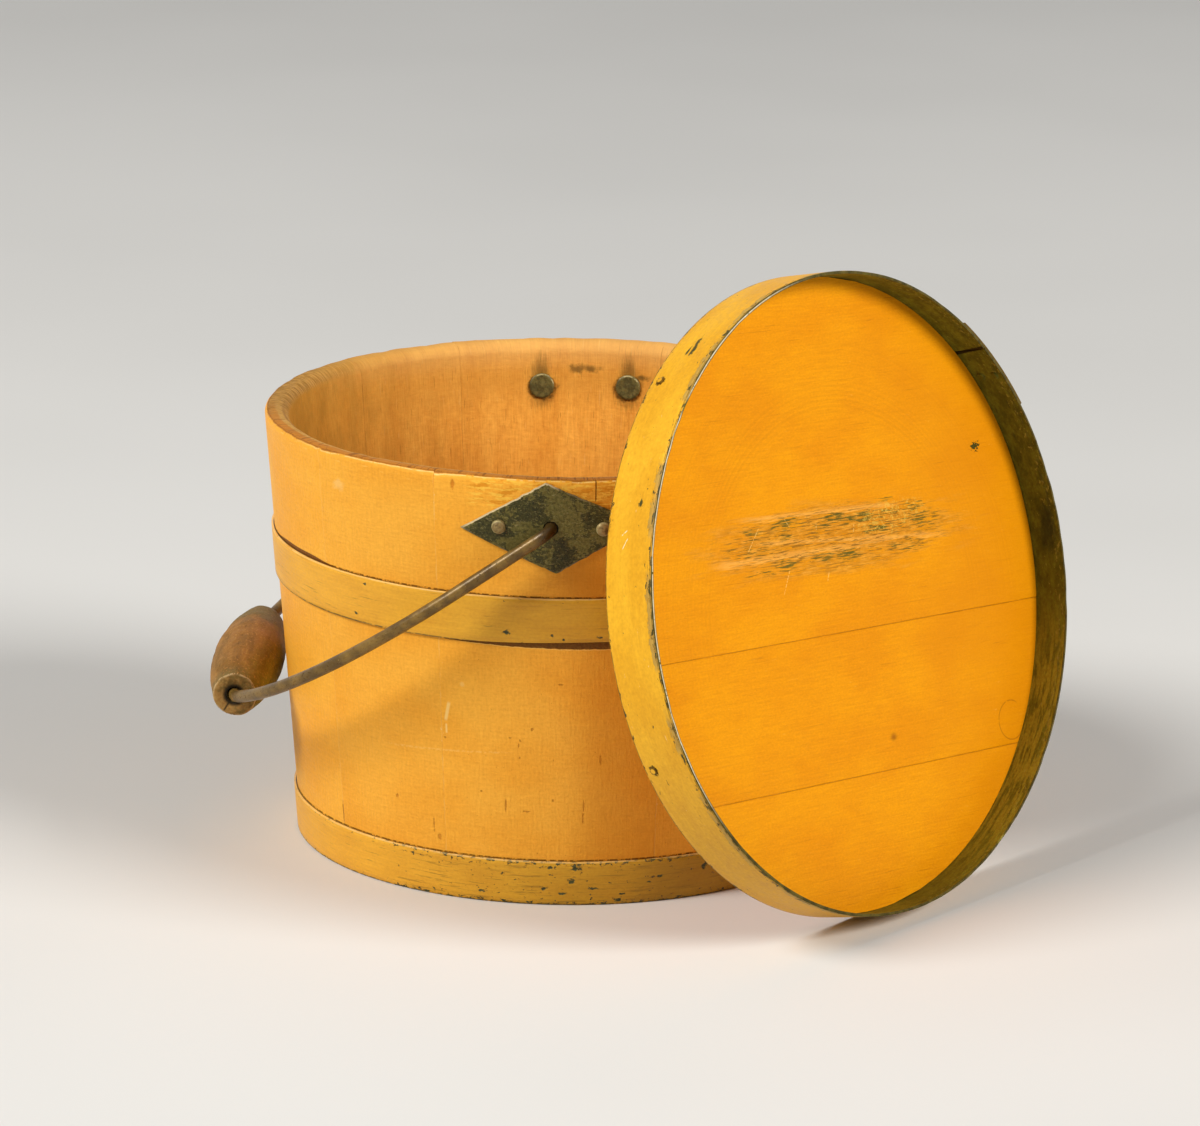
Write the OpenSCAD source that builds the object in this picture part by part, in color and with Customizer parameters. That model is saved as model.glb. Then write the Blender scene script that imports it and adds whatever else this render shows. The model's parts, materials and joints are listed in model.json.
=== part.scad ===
// Staved wooden pail with a wire bail, and its banded lid leaning on the rim.
// The origin is the centre of the pail's foot, +Z is up, and +X points from the pail to its lid.

/* [Pail] */
// Diameter over the staves at the rim
rim_d = 300; // [292:1:302]
// Diameter over the staves at the foot
base_d = 266; // [250:1:268]
// Height of the staves
pail_h = 214; // [214:1:260]
// Thickness of a stave
wall_t = 12; // [9:0.5:15]
// Rounding of the rim's worn outer edge
rim_round = 3; // [1:0.5:4]
// Rounding of the rim's inner edge
rim_round_in = 2.2; // [1:0.2:4]
// Side of the square V tongue between two staves
tongue_side = 4; // [2:0.5:5]

/* [Bottom] */
// Height of the bottom boards over the foot
bottom_rise = 13; // [8:1:25]
// Thickness of the bottom boards
bottom_t = 10; // [7:0.5:14]
// Depth of the groove that holds the bottom
croze_depth = 4; // [2:0.5:5]
// Height of the groove, which is the thickness of the boards' thin edge
croze_h = 5; // [3:0.5:6]

/* [Hoops] */
// Thickness of the hoop strips
hoop_t = 1.3; // [0.8:0.1:2]
// Width of the upper hoop
upper_hoop_w = 23.5; // [15:0.5:30]
// Height of the upper hoop's lower edge
upper_hoop_z = 131.5; // [110:0.5:135]
// Width of the lower hoop, which is flush with the foot
lower_hoop_w = 22; // [15:0.5:30]
// Length of each hoop's riveted lap
hoop_lap = 34; // [24:1:45]

/* [Ear plates] */
// Width of an ear plate across its tips
plate_w = 87; // [76:1:96]
// Height of an ear plate across its tips
plate_h = 45; // [38:1:46]
// Thickness of an ear plate
plate_t = 1.5; // [1:0.1:2]
// Height of the bail's hinge line
hinge_z = 190; // [186:0.5:190]
// Distance along the wall from the bail's hole to each rivet
rivet_gap = 24.4; // [21:0.1:26]

/* [Bail] */
// Diameter of the bail wire
wire_d = 6; // [4:0.1:6]
// Distance of each leg's middle line from the pail's axis
leg_x = 156.2; // [155:0.1:170]
// Distance from the hinge line to the middle line of the grip
bail_reach = 194; // [193:0.5:215]
// Angle of the hanging bail below the level
droop = 34.8; // [20:0.1:34.8]

/* [Grip] */
// Length of the turned grip
grip_l = 125; // [100:1:125]
// Diameter at the middle of the grip
grip_mid_d = 34.8; // [28:0.1:35]
// Diameter of the grip's ends
grip_end_d = 22; // [18:0.1:24]
// Diameter of the hole along the grip
grip_bore_d = 7.6; // [7:0.1:9]

/* [Lid] */
// Diameter over the lid's band
lid_d = 305; // [304.5:0.1:306]
// Width of the lid's band
band_w = 28.4; // [26.4:0.2:32]
// Thickness of the band
band_t = 1.4; // [1:0.1:1.4]
// Thickness of the lid's boards
board_t = 10.3; // [8:0.1:12]
// Lean of the lid from the upright
lid_lean = 13.3; // [10:0.1:14]
// Sideways shift of the leaning lid from the pail's middle
lid_shift = -5.4; // [-12:0.2:12]
// Gap between the leaning lid and the rim
lid_gap = 0.35; // [0.3:0.05:2]
// Turn of the lid's boards round the lid's own axis
board_turn = -4.8; // [-30:0.2:30]

/* [Hidden] */
$fn = 96;

// Colours of the painted wood, the hoops, the bare wood, the iron and the grip
stave_paint = [0.95, 0.66, 0.22];
hoop_paint = [0.86, 0.66, 0.2];
lid_paint = [0.96, 0.6, 0.08];
bare_wood = [0.82, 0.6, 0.34];
iron = [0.28, 0.27, 0.2];
rivet_iron = [0.42, 0.3, 0.2];
grip_wood = [0.6, 0.34, 0.16];

// The wall is a cone: its radius grows by wall_k for each millimetre of height
base_r = base_d / 2;
rim_r = rim_d / 2;
wall_k = (rim_r - base_r) / pail_h;
flare = atan(wall_k);
wall_level = wall_t / cos(flare);
function out_r(z) = base_r + wall_k * z;
function in_r(z) = out_r(z) - wall_level;

// Azimuths of the joints between staves, counted round from the front ear stave's left edge
plate_az = -52;
seam_az = [-74, -30.5, -2, 26, 54, 82.5, 111.5, 155.5, 181.5, 207, 232.5, 258, 286];
FRONT_EAR = 0;
LID_SIDE = 1;
BACK_EAR = 6;
BAIL_SIDE = 7;

function arc(cx, cy, r, from, to, steps) =
  [for (i = [0:steps]) [cx + r * cos(from + (to - from) * i / steps), cy + r * sin(from + (to - from) * i / steps)]];

// Wall: one revolved profile, from which every stave is cut
groove_z = bottom_rise + croze_h + 0.1;
groove_r = in_r(bottom_rise) + croze_depth;
chime_bevel = 3;

module wall_profile() {
  outer_edge = arc(out_r(pail_h - rim_round) - rim_round / cos(flare), pail_h - rim_round,
                   rim_round, -flare, 90, 6);
  inner_edge = arc(in_r(pail_h - rim_round_in) + rim_round_in / cos(flare), pail_h - rim_round_in,
                   rim_round_in, 90, 180 - flare, 5);
  groove = [[in_r(groove_z), groove_z], [groove_r, groove_z], [groove_r, bottom_rise],
            [in_r(bottom_rise), bottom_rise]];
  foot = [[in_r(chime_bevel), chime_bevel], [in_r(0) + chime_bevel, 0], [base_r, 0]];
  polygon(concat(outer_edge, inner_edge, groove, foot));
}

module wall() {
  rotate_extrude($fn = 180)
    wall_profile();
}

// A pie slice that holds everything between two azimuths
module slice(from, to, h) {
  reach = 2 * rim_r;
  linear_extrude(height = h)
    polygon([[0, 0],
             [reach * cos(from), reach * sin(from)],
             [reach * cos((from + to) / 2), reach * sin((from + to) / 2)],
             [reach * cos(to), reach * sin(to)]]);
}

// Square bar turned on its edge that runs up the middle of the wall, so half of it is a V tongue
module tongue(az) {
  rotate([0, 0, az])
    translate([out_r(0) - wall_level / 2, 0, 0])
      rotate([0, flare, 0])
        rotate([0, 0, 45])
          translate([-tongue_side / 2, -tongue_side / 2, -10])
            cube([tongue_side, tongue_side, pail_h + 20]);
}

module plain_stave(i) {
  difference() {
    intersection() {
      wall();
      union() {
        translate([0, 0, -1])
          slice(seam_az[i], seam_az[i + 1], pail_h + 2);
        tongue(seam_az[i + 1]);
      }
    }
    tongue(seam_az[i]);
  }
}

// Ears: the bail's hole is on the hinge line, and a rivet sits on each side of it, square to the wall
rivet_turn = rivet_gap / out_r(hinge_z) * 180 / PI;
shank_d = 4.6;
head_pocket_d = 11.6;
head_pocket_depth = 6.2;
bail_hole_d = 7.2;

module at_wall(az, z) {
  rotate([0, 0, az])
    translate([out_r(z), 0, z])
      rotate([0, 90 + flare, 0])
        children();
}

module at_rivets(az) {
  for (side = [-1, 1])
    at_wall(az + side * rivet_turn, hinge_z)
      children();
}

module on_hinge_line(az) {
  translate([0, 0, hinge_z])
    rotate([0, 0, az])
      rotate([0, 90, 0])
        children();
}

module ear_stave(i, az) {
  difference() {
    plain_stave(i);
    at_rivets(az)
      translate([0, 0, -wall_t - 4])
        cylinder(d = shank_d, h = wall_t + 8);
    on_hinge_line(az)
      translate([0, 0, out_r(hinge_z) - head_pocket_depth])
        cylinder(d = head_pocket_d, h = 20);
  }
}

// Bottom: boards with a thin bevelled edge that stands in the groove, joined with the same V tongue
board_tongue_side = 3;
bottom_turn = 20;
bottom_half = 44;
bottom_r = groove_r - 0.2;

module bottom_disc() {
  shoulder_r = in_r(bottom_rise + bottom_t) - 4;
  rotate_extrude($fn = 180)
    polygon([[0, bottom_rise], [bottom_r, bottom_rise], [bottom_r, bottom_rise + croze_h],
             [in_r(bottom_rise) - 0.6, bottom_rise + croze_h], [shoulder_r, bottom_rise + bottom_t],
             [0, bottom_rise + bottom_t]]);
}

// A bar on its edge along a board joint at distance y, at height z
module board_tongue(y, z) {
  translate([0, y, z])
    rotate([45, 0, 0])
      cube([2 * rim_r, board_tongue_side, board_tongue_side], center = true);
}

module board_strip(low, high) {
  translate([-rim_r, low, -1])
    cube([2 * rim_r, high - low, 60]);
}

module bottom_board(low, high, grooved) {
  mid_z = bottom_rise + bottom_t / 2;
  rotate([0, 0, bottom_turn])
    difference() {
      intersection() {
        bottom_disc();
        union() {
          board_strip(low, high);
          if (high < rim_r)
            board_tongue(high, mid_z);
        }
      }
      if (grooved)
        board_tongue(low, mid_z);
    }
}

// Hoops: a conical strip with a second layer where its ends lap, cut off at the corners
module hoop_ring(z, w, from_t, to_t) {
  rotate_extrude($fn = 180)
    polygon([[out_r(z) + from_t, z], [out_r(z) + to_t, z],
             [out_r(z + w) + to_t, z + w], [out_r(z + w) + from_t, z + w]]);
}

// Upright six-sided block that trims a lap's corners, seen from outside the wall
module lap_block(az, z, w, lap) {
  snip = w / 5;
  rotate([0, 0, az])
    translate([0, 0, z])
      rotate([90, 0, 90])
        linear_extrude(height = 2 * rim_r)
          polygon([[-lap / 2, snip], [-lap / 2 + snip, 0], [lap / 2 - snip, 0], [lap / 2, snip],
                   [lap / 2, w - snip], [lap / 2 - snip, w], [-lap / 2 + snip, w], [-lap / 2, w - snip]]);
}

hoop_rivet_d = 3;
hoop_head_d = 6;
hoop_head_h = 1.4;
upper_lap_az = 168;
lower_lap_az = 133;

module at_lap_rivets(az, z, w) {
  for (level = [0.27, 0.73])
    at_wall(az, z + w * level)
      children();
}

module hoop(az, z, w) {
  difference() {
    union() {
      hoop_ring(z, w, 0, hoop_t);
      intersection() {
        hoop_ring(z, w, hoop_t, 2 * hoop_t);
        lap_block(az, z, w, hoop_lap);
      }
    }
    at_lap_rivets(az, z, w)
      translate([0, 0, -3])
        cylinder(d = hoop_rivet_d, h = 12);
  }
}

// Round-headed rivet: its head's underside is at the height grip, and its shank starts at height 0
module rivet(head_d, head_h, d, grip) {
  dome_r = (head_d * head_d / 4 + head_h * head_h) / (2 * head_h);
  cylinder(d = d, h = grip);
  translate([0, 0, grip])
    intersection() {
      translate([0, 0, head_h - dome_r])
        sphere(r = dome_r);
      cylinder(d = 2 * head_d, h = head_h + 1);
    }
}

module hoop_rivets(az, z, w) {
  at_lap_rivets(az, z, w)
    rivet(hoop_head_d, hoop_head_h, hoop_rivet_d, 2 * hoop_t);
}

// Ear plate: a diamond cut from a conical sheet, so it lies on the wall all over
module ear_plate(az) {
  difference() {
    intersection() {
      rotate_extrude($fn = 180)
        polygon([[out_r(150), 150], [out_r(150) + plate_t, 150],
                 [out_r(pail_h) + plate_t, pail_h], [out_r(pail_h), pail_h]]);
      translate([0, 0, hinge_z])
        rotate([0, 0, az])
          rotate([90, 0, 90])
            linear_extrude(height = 2 * rim_r)
              polygon([[-plate_w / 2, 0], [0, -plate_h / 2], [plate_w / 2, 0], [0, plate_h / 2]]);
    }
    at_rivets(az)
      translate([0, 0, -2])
        cylinder(d = shank_d, h = 8);
    on_hinge_line(az)
      translate([0, 0, rim_r - 20])
        cylinder(d = bail_hole_d, h = 40);
  }
}

burr_d = 12.7;
burr_t = 1.2;
// A flat burr bears on the hollow wall at its edge, this far off the wall at its middle
burr_seat = burr_d * burr_d / 8 / in_r(hinge_z) + 0.02;
ear_head_d = 7;
ear_head_h = 2.2;
peened_end = 0.8;

module ear_rivets(az) {
  at_rivets(az)
    translate([0, 0, -wall_t - burr_t - peened_end])
      rivet(ear_head_d, ear_head_h, shank_d, wall_t + burr_t + peened_end + plate_t);
}

// Burrs are washers that the rivets are hammered over, flat on the wall's inner face
module ear_burrs(az) {
  at_rivets(az)
    translate([0, 0, -wall_t - burr_t - burr_seat])
      difference() {
        cylinder(d = burr_d, h = burr_t);
        translate([0, 0, -1])
          cylinder(d = shank_d, h = burr_t + 2);
      }
}

// Bail: drawn in its own plane, with x along the hinge line and y towards the grip
ear_bend_r = 5;
stub_x = 143;
head_d = 10;
head_h = 2;
knuckle_d = wire_d + 0.2;
// The bow starts at a round half millimetre, where it meets the middle line of the grip just past the grip's end
grip_end_room = 1.5;
bow_y = round(2 * (bail_reach - sqrt(pow(leg_x, 2) - pow(grip_l / 2 + grip_end_room, 2)))) / 2;
bow_turn = asin((bail_reach - bow_y) / leg_x);
grip_bend_x = leg_x * cos(bow_turn);

module on_bail() {
  translate([0, 0, hinge_z])
    rotate([0, 0, plate_az])
      rotate([180 + droop, 0, 0])
        children();
}

module wire_arc(r, turn) {
  rotate_extrude(angle = turn, $fn = 144)
    translate([r, 0])
      circle(d = wire_d, $fn = 32);
}

// The end turns into the ear plate's hole and is upset to a head behind it
module wire_end() {
  translate([leg_x - ear_bend_r, ear_bend_r, 0])
    rotate([0, 0, -90])
      wire_arc(ear_bend_r, 90);
  translate([stub_x, 0, 0])
    rotate([0, 90, 0]) {
      cylinder(d = wire_d, h = leg_x - ear_bend_r - stub_x, $fn = 32);
      cylinder(d = head_d, h = head_h, $fn = 32);
    }
}

// From the ear the wire runs straight, then in one bow, and turns at a hammered knuckle into the grip
module bail_half() {
  wire_end();
  translate([leg_x, ear_bend_r, 0])
    rotate([-90, 0, 0])
      cylinder(d = wire_d, h = bow_y - ear_bend_r, $fn = 32);
  translate([0, bow_y, 0])
    wire_arc(leg_x, bow_turn);
  translate([grip_bend_x, bail_reach, 0])
    sphere(d = knuckle_d, $fn = 48);
}

// Grip: a barrel turned on the same axis as the wire's straight middle
module grip_profile() {
  swell = 1.82;
  steps = 24;
  chamfer = 1.2;
  half = grip_l / 2;
  side = [for (i = [0:steps])
            let (s = -1 + 2 * i / steps)
              [grip_end_d / 2 + (grip_mid_d - grip_end_d) / 2 * (1 - pow(abs(s), swell)),
               s * (half - chamfer)]];
  start = [[grip_bore_d / 2, -half], [grip_end_d / 2 - chamfer, -half]];
  finish = [[grip_end_d / 2 - chamfer, half], [grip_bore_d / 2, half]];
  polygon(concat(start, side, finish));
}

// Lid: drawn flat with its outside at height 0 and its mouth upwards, then leaned on the rim
lid_r = lid_d / 2;
board_r = lid_r - band_t;
// Distance of the rim from the origin along the lid's lean, where the lid's outside would touch it
rim_touch = (rim_r - rim_round) * cos(lid_lean) + (pail_h - rim_round) * sin(lid_lean) + rim_round;
foot_gap = 0.3;
lid_z = lid_r * cos(lid_lean) + foot_gap;
lid_x = (rim_touch + lid_gap - lid_z * sin(lid_lean)) / cos(lid_lean);

module on_lid() {
  translate([lid_x, lid_shift, lid_z])
    rotate([0, -lid_lean, 0])
      rotate([90, 0, 90])
        children();
}

// Distances of the two board joints from the lid's centre
upper_joint = -18;
lower_joint = -87;
nail_az = [for (i = [0:4]) 128.5 + 72 * i];
nail_depth = 5.6;
nail_d = 2.2;
nail_l = 18;
nail_head_side = 4;
nail_head_h = 0.9;

module at_nails() {
  for (az = nail_az)
    rotate([0, 0, az])
      translate([lid_r, 0, nail_depth])
        rotate([0, 90, 0])
          children();
}

module lid_board(low, high, grooved) {
  difference() {
    rotate([0, 0, board_turn])
      difference() {
        intersection() {
          cylinder(r = board_r, h = board_t, $fn = 180);
          union() {
            board_strip(low, high);
            if (high < lid_r)
              board_tongue(high, board_t / 2);
          }
        }
        if (grooved)
          board_tongue(low, board_t / 2);
      }
    at_nails()
      translate([0, 0, -nail_l - band_t])
        cylinder(d = nail_d, h = nail_l + 4, $fn = 24);
  }
}

// The band's strip ends inside at one azimuth, and its outer end covers that joint from lap_from to lap_to
lap_from = 26;
lap_to = 47;
inner_end_az = 40.3;
inner_end_gap = 0.6;
band_rivet_az = 33.5;
band_rivet_depths = [15.2, 23.4];
band_tail_d = 4.6;
band_tail_h = 0.8;
band_tail_seat = 0.04;

module at_band_rivets() {
  for (depth = band_rivet_depths)
    rotate([0, 0, band_rivet_az])
      translate([lid_r, 0, depth])
        rotate([0, 90, 0])
          children();
}

module flat_band() {
  difference() {
    union() {
      difference() {
        cylinder(r = lid_r, h = band_w, $fn = 180);
        translate([0, 0, -1])
          cylinder(r = board_r, h = band_w + 2, $fn = 180);
        rotate([0, 0, inner_end_az])
          translate([board_r - 2, -inner_end_gap / 2, -1])
            cube([6, inner_end_gap, band_w + 2]);
      }
      intersection() {
        difference() {
          cylinder(r = lid_r + band_t, h = band_w, $fn = 180);
          translate([0, 0, -1])
            cylinder(r = lid_r, h = band_w + 2, $fn = 180);
        }
        slice(lap_from, lap_to, band_w);
      }
    }
    at_nails()
      translate([0, 0, -4])
        cylinder(d = nail_d, h = 8, $fn = 24);
    at_band_rivets()
      translate([0, 0, -4])
        cylinder(d = hoop_rivet_d, h = 8, $fn = 24);
  }
}

module flat_band_rivets() {
  at_band_rivets() {
    translate([0, 0, -band_t - band_tail_h / 2])
      rivet(hoop_head_d, hoop_head_h, hoop_rivet_d, 2 * band_t + band_tail_h / 2);
    translate([0, 0, -band_t - band_tail_seat - band_tail_h])
      cylinder(d = band_tail_d, h = band_tail_h, $fn = 24);
  }
}

module flat_nails() {
  at_nails() {
    translate([0, 0, -nail_l])
      cylinder(d = nail_d, h = nail_l, $fn = 24);
    translate([-nail_head_side / 2, -nail_head_side / 2, 0])
      cube([nail_head_side, nail_head_side, nail_head_h]);
  }
}

// The sub-parts
module front_ear_stave() {
  color(stave_paint)
    ear_stave(FRONT_EAR, plate_az);
}

module back_ear_stave() {
  color(stave_paint)
    ear_stave(BACK_EAR, plate_az + 180);
}

module lid_side_stave(count) {
  color(stave_paint)
    plain_stave(LID_SIDE + count - 1);
}

module bail_side_stave(count) {
  color(stave_paint)
    plain_stave(BAIL_SIDE + count - 1);
}

module bottom_board_left() {
  color(bare_wood)
    bottom_board(-rim_r, -bottom_half, false);
}

module bottom_board_middle() {
  color(bare_wood)
    bottom_board(-bottom_half, bottom_half, true);
}

module bottom_board_right() {
  color(bare_wood)
    bottom_board(bottom_half, rim_r, true);
}

module upper_hoop() {
  color(hoop_paint)
    hoop(upper_lap_az, upper_hoop_z, upper_hoop_w);
}

module upper_hoop_rivets() {
  color(rivet_iron)
    hoop_rivets(upper_lap_az, upper_hoop_z, upper_hoop_w);
}

module lower_hoop() {
  color(hoop_paint)
    hoop(lower_lap_az, 0, lower_hoop_w);
}

module lower_hoop_rivets() {
  color(rivet_iron)
    hoop_rivets(lower_lap_az, 0, lower_hoop_w);
}

module front_ear_plate() {
  color(iron)
    ear_plate(plate_az);
}

module front_ear_rivets() {
  color(rivet_iron)
    ear_rivets(plate_az);
}

module front_ear_burrs() {
  color(iron)
    ear_burrs(plate_az);
}

module back_ear_plate() {
  color(iron)
    ear_plate(plate_az + 180);
}

module back_ear_rivets() {
  color(rivet_iron)
    ear_rivets(plate_az + 180);
}

module back_ear_burrs() {
  color(iron)
    ear_burrs(plate_az + 180);
}

module bail() {
  color(iron)
    on_bail() {
      bail_half();
      mirror([1, 0, 0])
        bail_half();
      translate([-grip_bend_x, bail_reach, 0])
        rotate([0, 90, 0])
          cylinder(d = wire_d, h = 2 * grip_bend_x, $fn = 32);
    }
}

module grip() {
  color(grip_wood)
    on_bail()
      translate([0, bail_reach, 0])
        rotate([0, 90, 0])
          rotate_extrude($fn = 96)
            grip_profile();
}

module lid_board_upper() {
  color(lid_paint)
    on_lid()
      lid_board(upper_joint, lid_r, true);
}

module lid_board_middle() {
  color(lid_paint)
    on_lid()
      lid_board(lower_joint, upper_joint, true);
}

module lid_board_lower() {
  color(lid_paint)
    on_lid()
      lid_board(-lid_r, lower_joint, false);
}

module lid_band() {
  color(hoop_paint)
    on_lid()
      flat_band();
}

module lid_band_rivets() {
  color(rivet_iron)
    on_lid()
      flat_band_rivets();
}

module lid_nails() {
  color(iron)
    on_lid()
      flat_nails();
}

front_ear_stave();
back_ear_stave();
lid_side_stave(1);  // lid_side_stave_1
lid_side_stave(2);  // lid_side_stave_2
lid_side_stave(3);  // lid_side_stave_3
lid_side_stave(4);  // lid_side_stave_4
lid_side_stave(5);  // lid_side_stave_5
bail_side_stave(1);  // bail_side_stave_1
bail_side_stave(2);  // bail_side_stave_2
bail_side_stave(3);  // bail_side_stave_3
bail_side_stave(4);  // bail_side_stave_4
bail_side_stave(5);  // bail_side_stave_5
bottom_board_left();
bottom_board_middle();
bottom_board_right();
upper_hoop();
upper_hoop_rivets();
lower_hoop();
lower_hoop_rivets();
front_ear_plate();
front_ear_rivets();
front_ear_burrs();
back_ear_plate();
back_ear_rivets();
back_ear_burrs();
bail();
grip();
lid_board_upper();
lid_board_middle();
lid_board_lower();
lid_band();
lid_band_rivets();
lid_nails();
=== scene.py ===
"""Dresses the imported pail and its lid: old paint over bare pine, hammered iron and a handled wooden grip.

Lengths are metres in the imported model's frame: the foot's centre is the origin, +Z is up and +X points to the lid.
Angles are degrees where a name ends in _AZ or _DEG, and radians elsewhere.
"""

import json
import math

import bmesh
import bpy
import numpy as np
from mathutils import Matrix, Vector, noise


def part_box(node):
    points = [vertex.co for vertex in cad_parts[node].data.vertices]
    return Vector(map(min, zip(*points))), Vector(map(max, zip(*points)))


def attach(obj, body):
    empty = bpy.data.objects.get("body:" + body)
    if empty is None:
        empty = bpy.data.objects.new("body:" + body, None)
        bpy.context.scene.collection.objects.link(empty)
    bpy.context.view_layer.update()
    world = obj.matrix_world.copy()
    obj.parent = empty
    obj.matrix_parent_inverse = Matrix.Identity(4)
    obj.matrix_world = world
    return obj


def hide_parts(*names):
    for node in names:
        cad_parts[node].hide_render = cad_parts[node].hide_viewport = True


MM = 0.001
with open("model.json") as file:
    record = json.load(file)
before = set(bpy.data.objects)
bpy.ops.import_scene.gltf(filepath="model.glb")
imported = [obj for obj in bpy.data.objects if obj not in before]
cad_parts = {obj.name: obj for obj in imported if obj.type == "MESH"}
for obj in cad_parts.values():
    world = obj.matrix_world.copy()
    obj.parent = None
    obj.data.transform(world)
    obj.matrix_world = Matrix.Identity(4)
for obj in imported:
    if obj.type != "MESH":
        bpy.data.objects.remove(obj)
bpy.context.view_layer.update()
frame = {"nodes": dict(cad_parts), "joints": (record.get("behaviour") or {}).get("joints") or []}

# The wall is a cone. These are the part's own driving sizes.
BASE_R = 133 * MM
RIM_R = 150 * MM
PAIL_H = 214 * MM
WALL_T = 12 * MM
RIM_ROUND = 3 * MM
RIM_ROUND_IN = 4.4 * MM
RIM_SLANT = 1.3 * MM
SLOPE = (RIM_R - BASE_R) / PAIL_H
LEVEL = math.hypot(1, SLOPE)
TONGUE = 2.83 * MM
CROZE_LOW, CROZE_HIGH, CROZE_DEPTH = 13 * MM, 18.1 * MM, 4 * MM
CHIME_BEVEL = 3 * MM
PLATE_AZ = -52
RIVET_GAP = 24.4 * MM
PLATE_T = 1.5 * MM
HOOP_T = 1.3 * MM
LAP_HALF = 17 * MM
UPPER_LAP_AZ, LOWER_LAP_AZ = 168, 133
UPPER_HOOP = tuple(corner.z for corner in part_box("upper_hoop"))
LOWER_HOOP = tuple(corner.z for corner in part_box("lower_hoop"))
# The upper hoop's lower edge rises between the first two azimuths and falls back between the others
UPPER_RISE = 2.1 * MM
RISE_AZ = (-78, -40, -20, 0)
# Chips found on the hoops: azimuth in degrees, then height, half width and half height in millimetres
UPPER_CHIPS = (
    (-60.2, 137.6, 1.7, 0.9), (-51.7, 136.9, 0.6, 0.9), (-49.5, 134.9, 0.6, 0.5),
    (-90.1, 151.5, 0.8, 0.8), (-92.9, 135.7, 0.9, 0.5), (-42.8, 135.9, 1.3, 0.5),
)
LOWER_CHIPS = (
    (-47.7, 12.1, 1.4, 1.3), (-46.7, 18.8, 2.2, 1.3), (-53.1, 8.4, 1.7, 0.7), (-49.5, 5.8, 1.7, 0.6),
    (-66.0, 5.1, 2.0, 0.6), (-29.3, 12.9, 1.8, 0.5), (-31.8, 10.4, 1.4, 0.4), (-43.2, 8.5, 2.2, 0.5),
    (-37.2, 5.2, 1.8, 0.4), (-38.0, 2.2, 1.6, 1.0), (-51.9, 19.1, 1.3, 0.9), (-19.5, 15.1, 1.6, 1.2),
)
# Small dents and spots on the front: azimuth in degrees, then height, half width and half height in millimetres
DENTS = (
    (-60.9, 49.2, 0.5, 2.6), (-56.7, 47.0, 1.6, 0.4), (-59.9, 84.0, 0.7, 0.4), (-57.9, 82.9, 0.4, 0.6),
    (-55.5, 89.0, 0.6, 0.9), (-58.0, 74.3, 0.5, 0.5), (-65.9, 55.8, 0.5, 0.5), (-85.2, 46.5, 0.9, 1.1),
    (-75.3, 29.3, 1.2, 1.1), (-76.5, 36.0, 0.3, 3.6), (-73.3, 81.0, 0.6, 0.5), (-58.2, 80.4, 0.3, 1.0),
    (-101.9, 28.5, 0.5, 5.5), (-51.4, 53.2, 0.5, 0.5), (-50.0, 111.9, 1.2, 0.4), (-45.3, 50.5, 0.4, 2.8),
    (-45.4, 44.0, 0.4, 2.6), (-42.1, 74.0, 0.5, 2.3),
)

# The lid leans on the rim. Its own axes are across, up the board and out of its mouth.
LID_R = 152.5 * MM
BAND_T = 1.4 * MM
BAND_W = 28.4 * MM
BOARD_T = 10.3 * MM
LEAN = math.radians(13.3)
LID_ACROSS = Vector((0, 1, 0))
LID_UP = Vector((-math.sin(LEAN), 0, math.cos(LEAN)))
LID_OUT = Vector((math.cos(LEAN), 0, math.sin(LEAN)))
BOARD_TURN_DEG = -4.8
LID_JOINTS = (-87 * MM, -18 * MM)
NAIL_DEPTH = 5.6 * MM
NAIL_AZ = [128.5 + 72 * i for i in range(5)]
BAND_RIVET_AZ = 33.5
# The scraped patch on the lid: pale scrapes as (across, up) of both ends and half a width, and
# green-black marks as (across, up), half sizes and strength. Millimetres.
SCRAPES = ((-57, 46.6, 49, 34.3, 1.5), (-82, 29.5, 15, 20.6, 2.3), (-48, 33.8, 80, 14.1, 1.3), (14, 20.8, 58, 18.0, 1.4))
STAINS = (
    (-53.5, 40, 7, 1.8, 1), (-28, 40, 14, 3.2, 0.9), (6, 36.6, 10, 2.2, 1), (23, 32.9, 22, 2.4, 1),
    (35, 25.9, 12, 2.4, 1), (45, 31.8, 10, 1.6, 0.9), (65, 30.3, 10, 4, 0.8), (68, 24, 15, 5, 0.7),
    (-31, 33.3, 6, 2, 0.7), (-5, 33.8, 9, 2.6, 0.7), (-33.8, 20.8, 8, 3, 1), (-51, 20.6, 13, 1.5, 0.7),
    (-5, 19.9, 8, 2.2, 1), (10, 17.2, 10, 2.8, 1), (54, 13.8, 14, 3.6, 0.6), (44, 37.8, 8, 1.4, 0.7), (-60, 33, 16, 8, 0.4),
)
BAND_RIVET_DEPTHS = (15.2 * MM, 23.4 * MM)
BAND_LAP_AZ = (26, 47)
BAND_END_AZ = 40.3

joints = {j["name"]: j for j in frame["joints"]}
HINGE = Vector(joints["bail_swing"]["pos_m"])
GRIP_MIDDLE = Vector(joints["grip_spin"]["pos_m"])
ALONG_HINGE = Vector(joints["grip_spin"]["axis"]).normalized()
TO_GRIP = (GRIP_MIDDLE - HINGE).normalized()
BAIL_REACH = (GRIP_MIDDLE - HINGE).length
WIRE_R = 3 * MM
LEG_X = 156.2 * MM
STUB_X = 143 * MM
EAR_BEND_R = 5 * MM
BOW_Y = 51.5 * MM
GRIP_HALF = 62.5 * MM
GRIP_MID_R, GRIP_END_R, GRIP_BORE_R = 17.4 * MM, 11 * MM, 3.8 * MM


def middle(node):
    low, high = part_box(node)
    return (low + high) / 2


LID_CENTRE = middle("lid_band") - LID_OUT * BAND_W / 2


# Mesh helpers
def smooth_step(value, low, high):
    t = np.clip((np.asarray(value, float) - low) / (high - low), 0, 1)
    return t * t * (3 - 2 * t)


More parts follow.
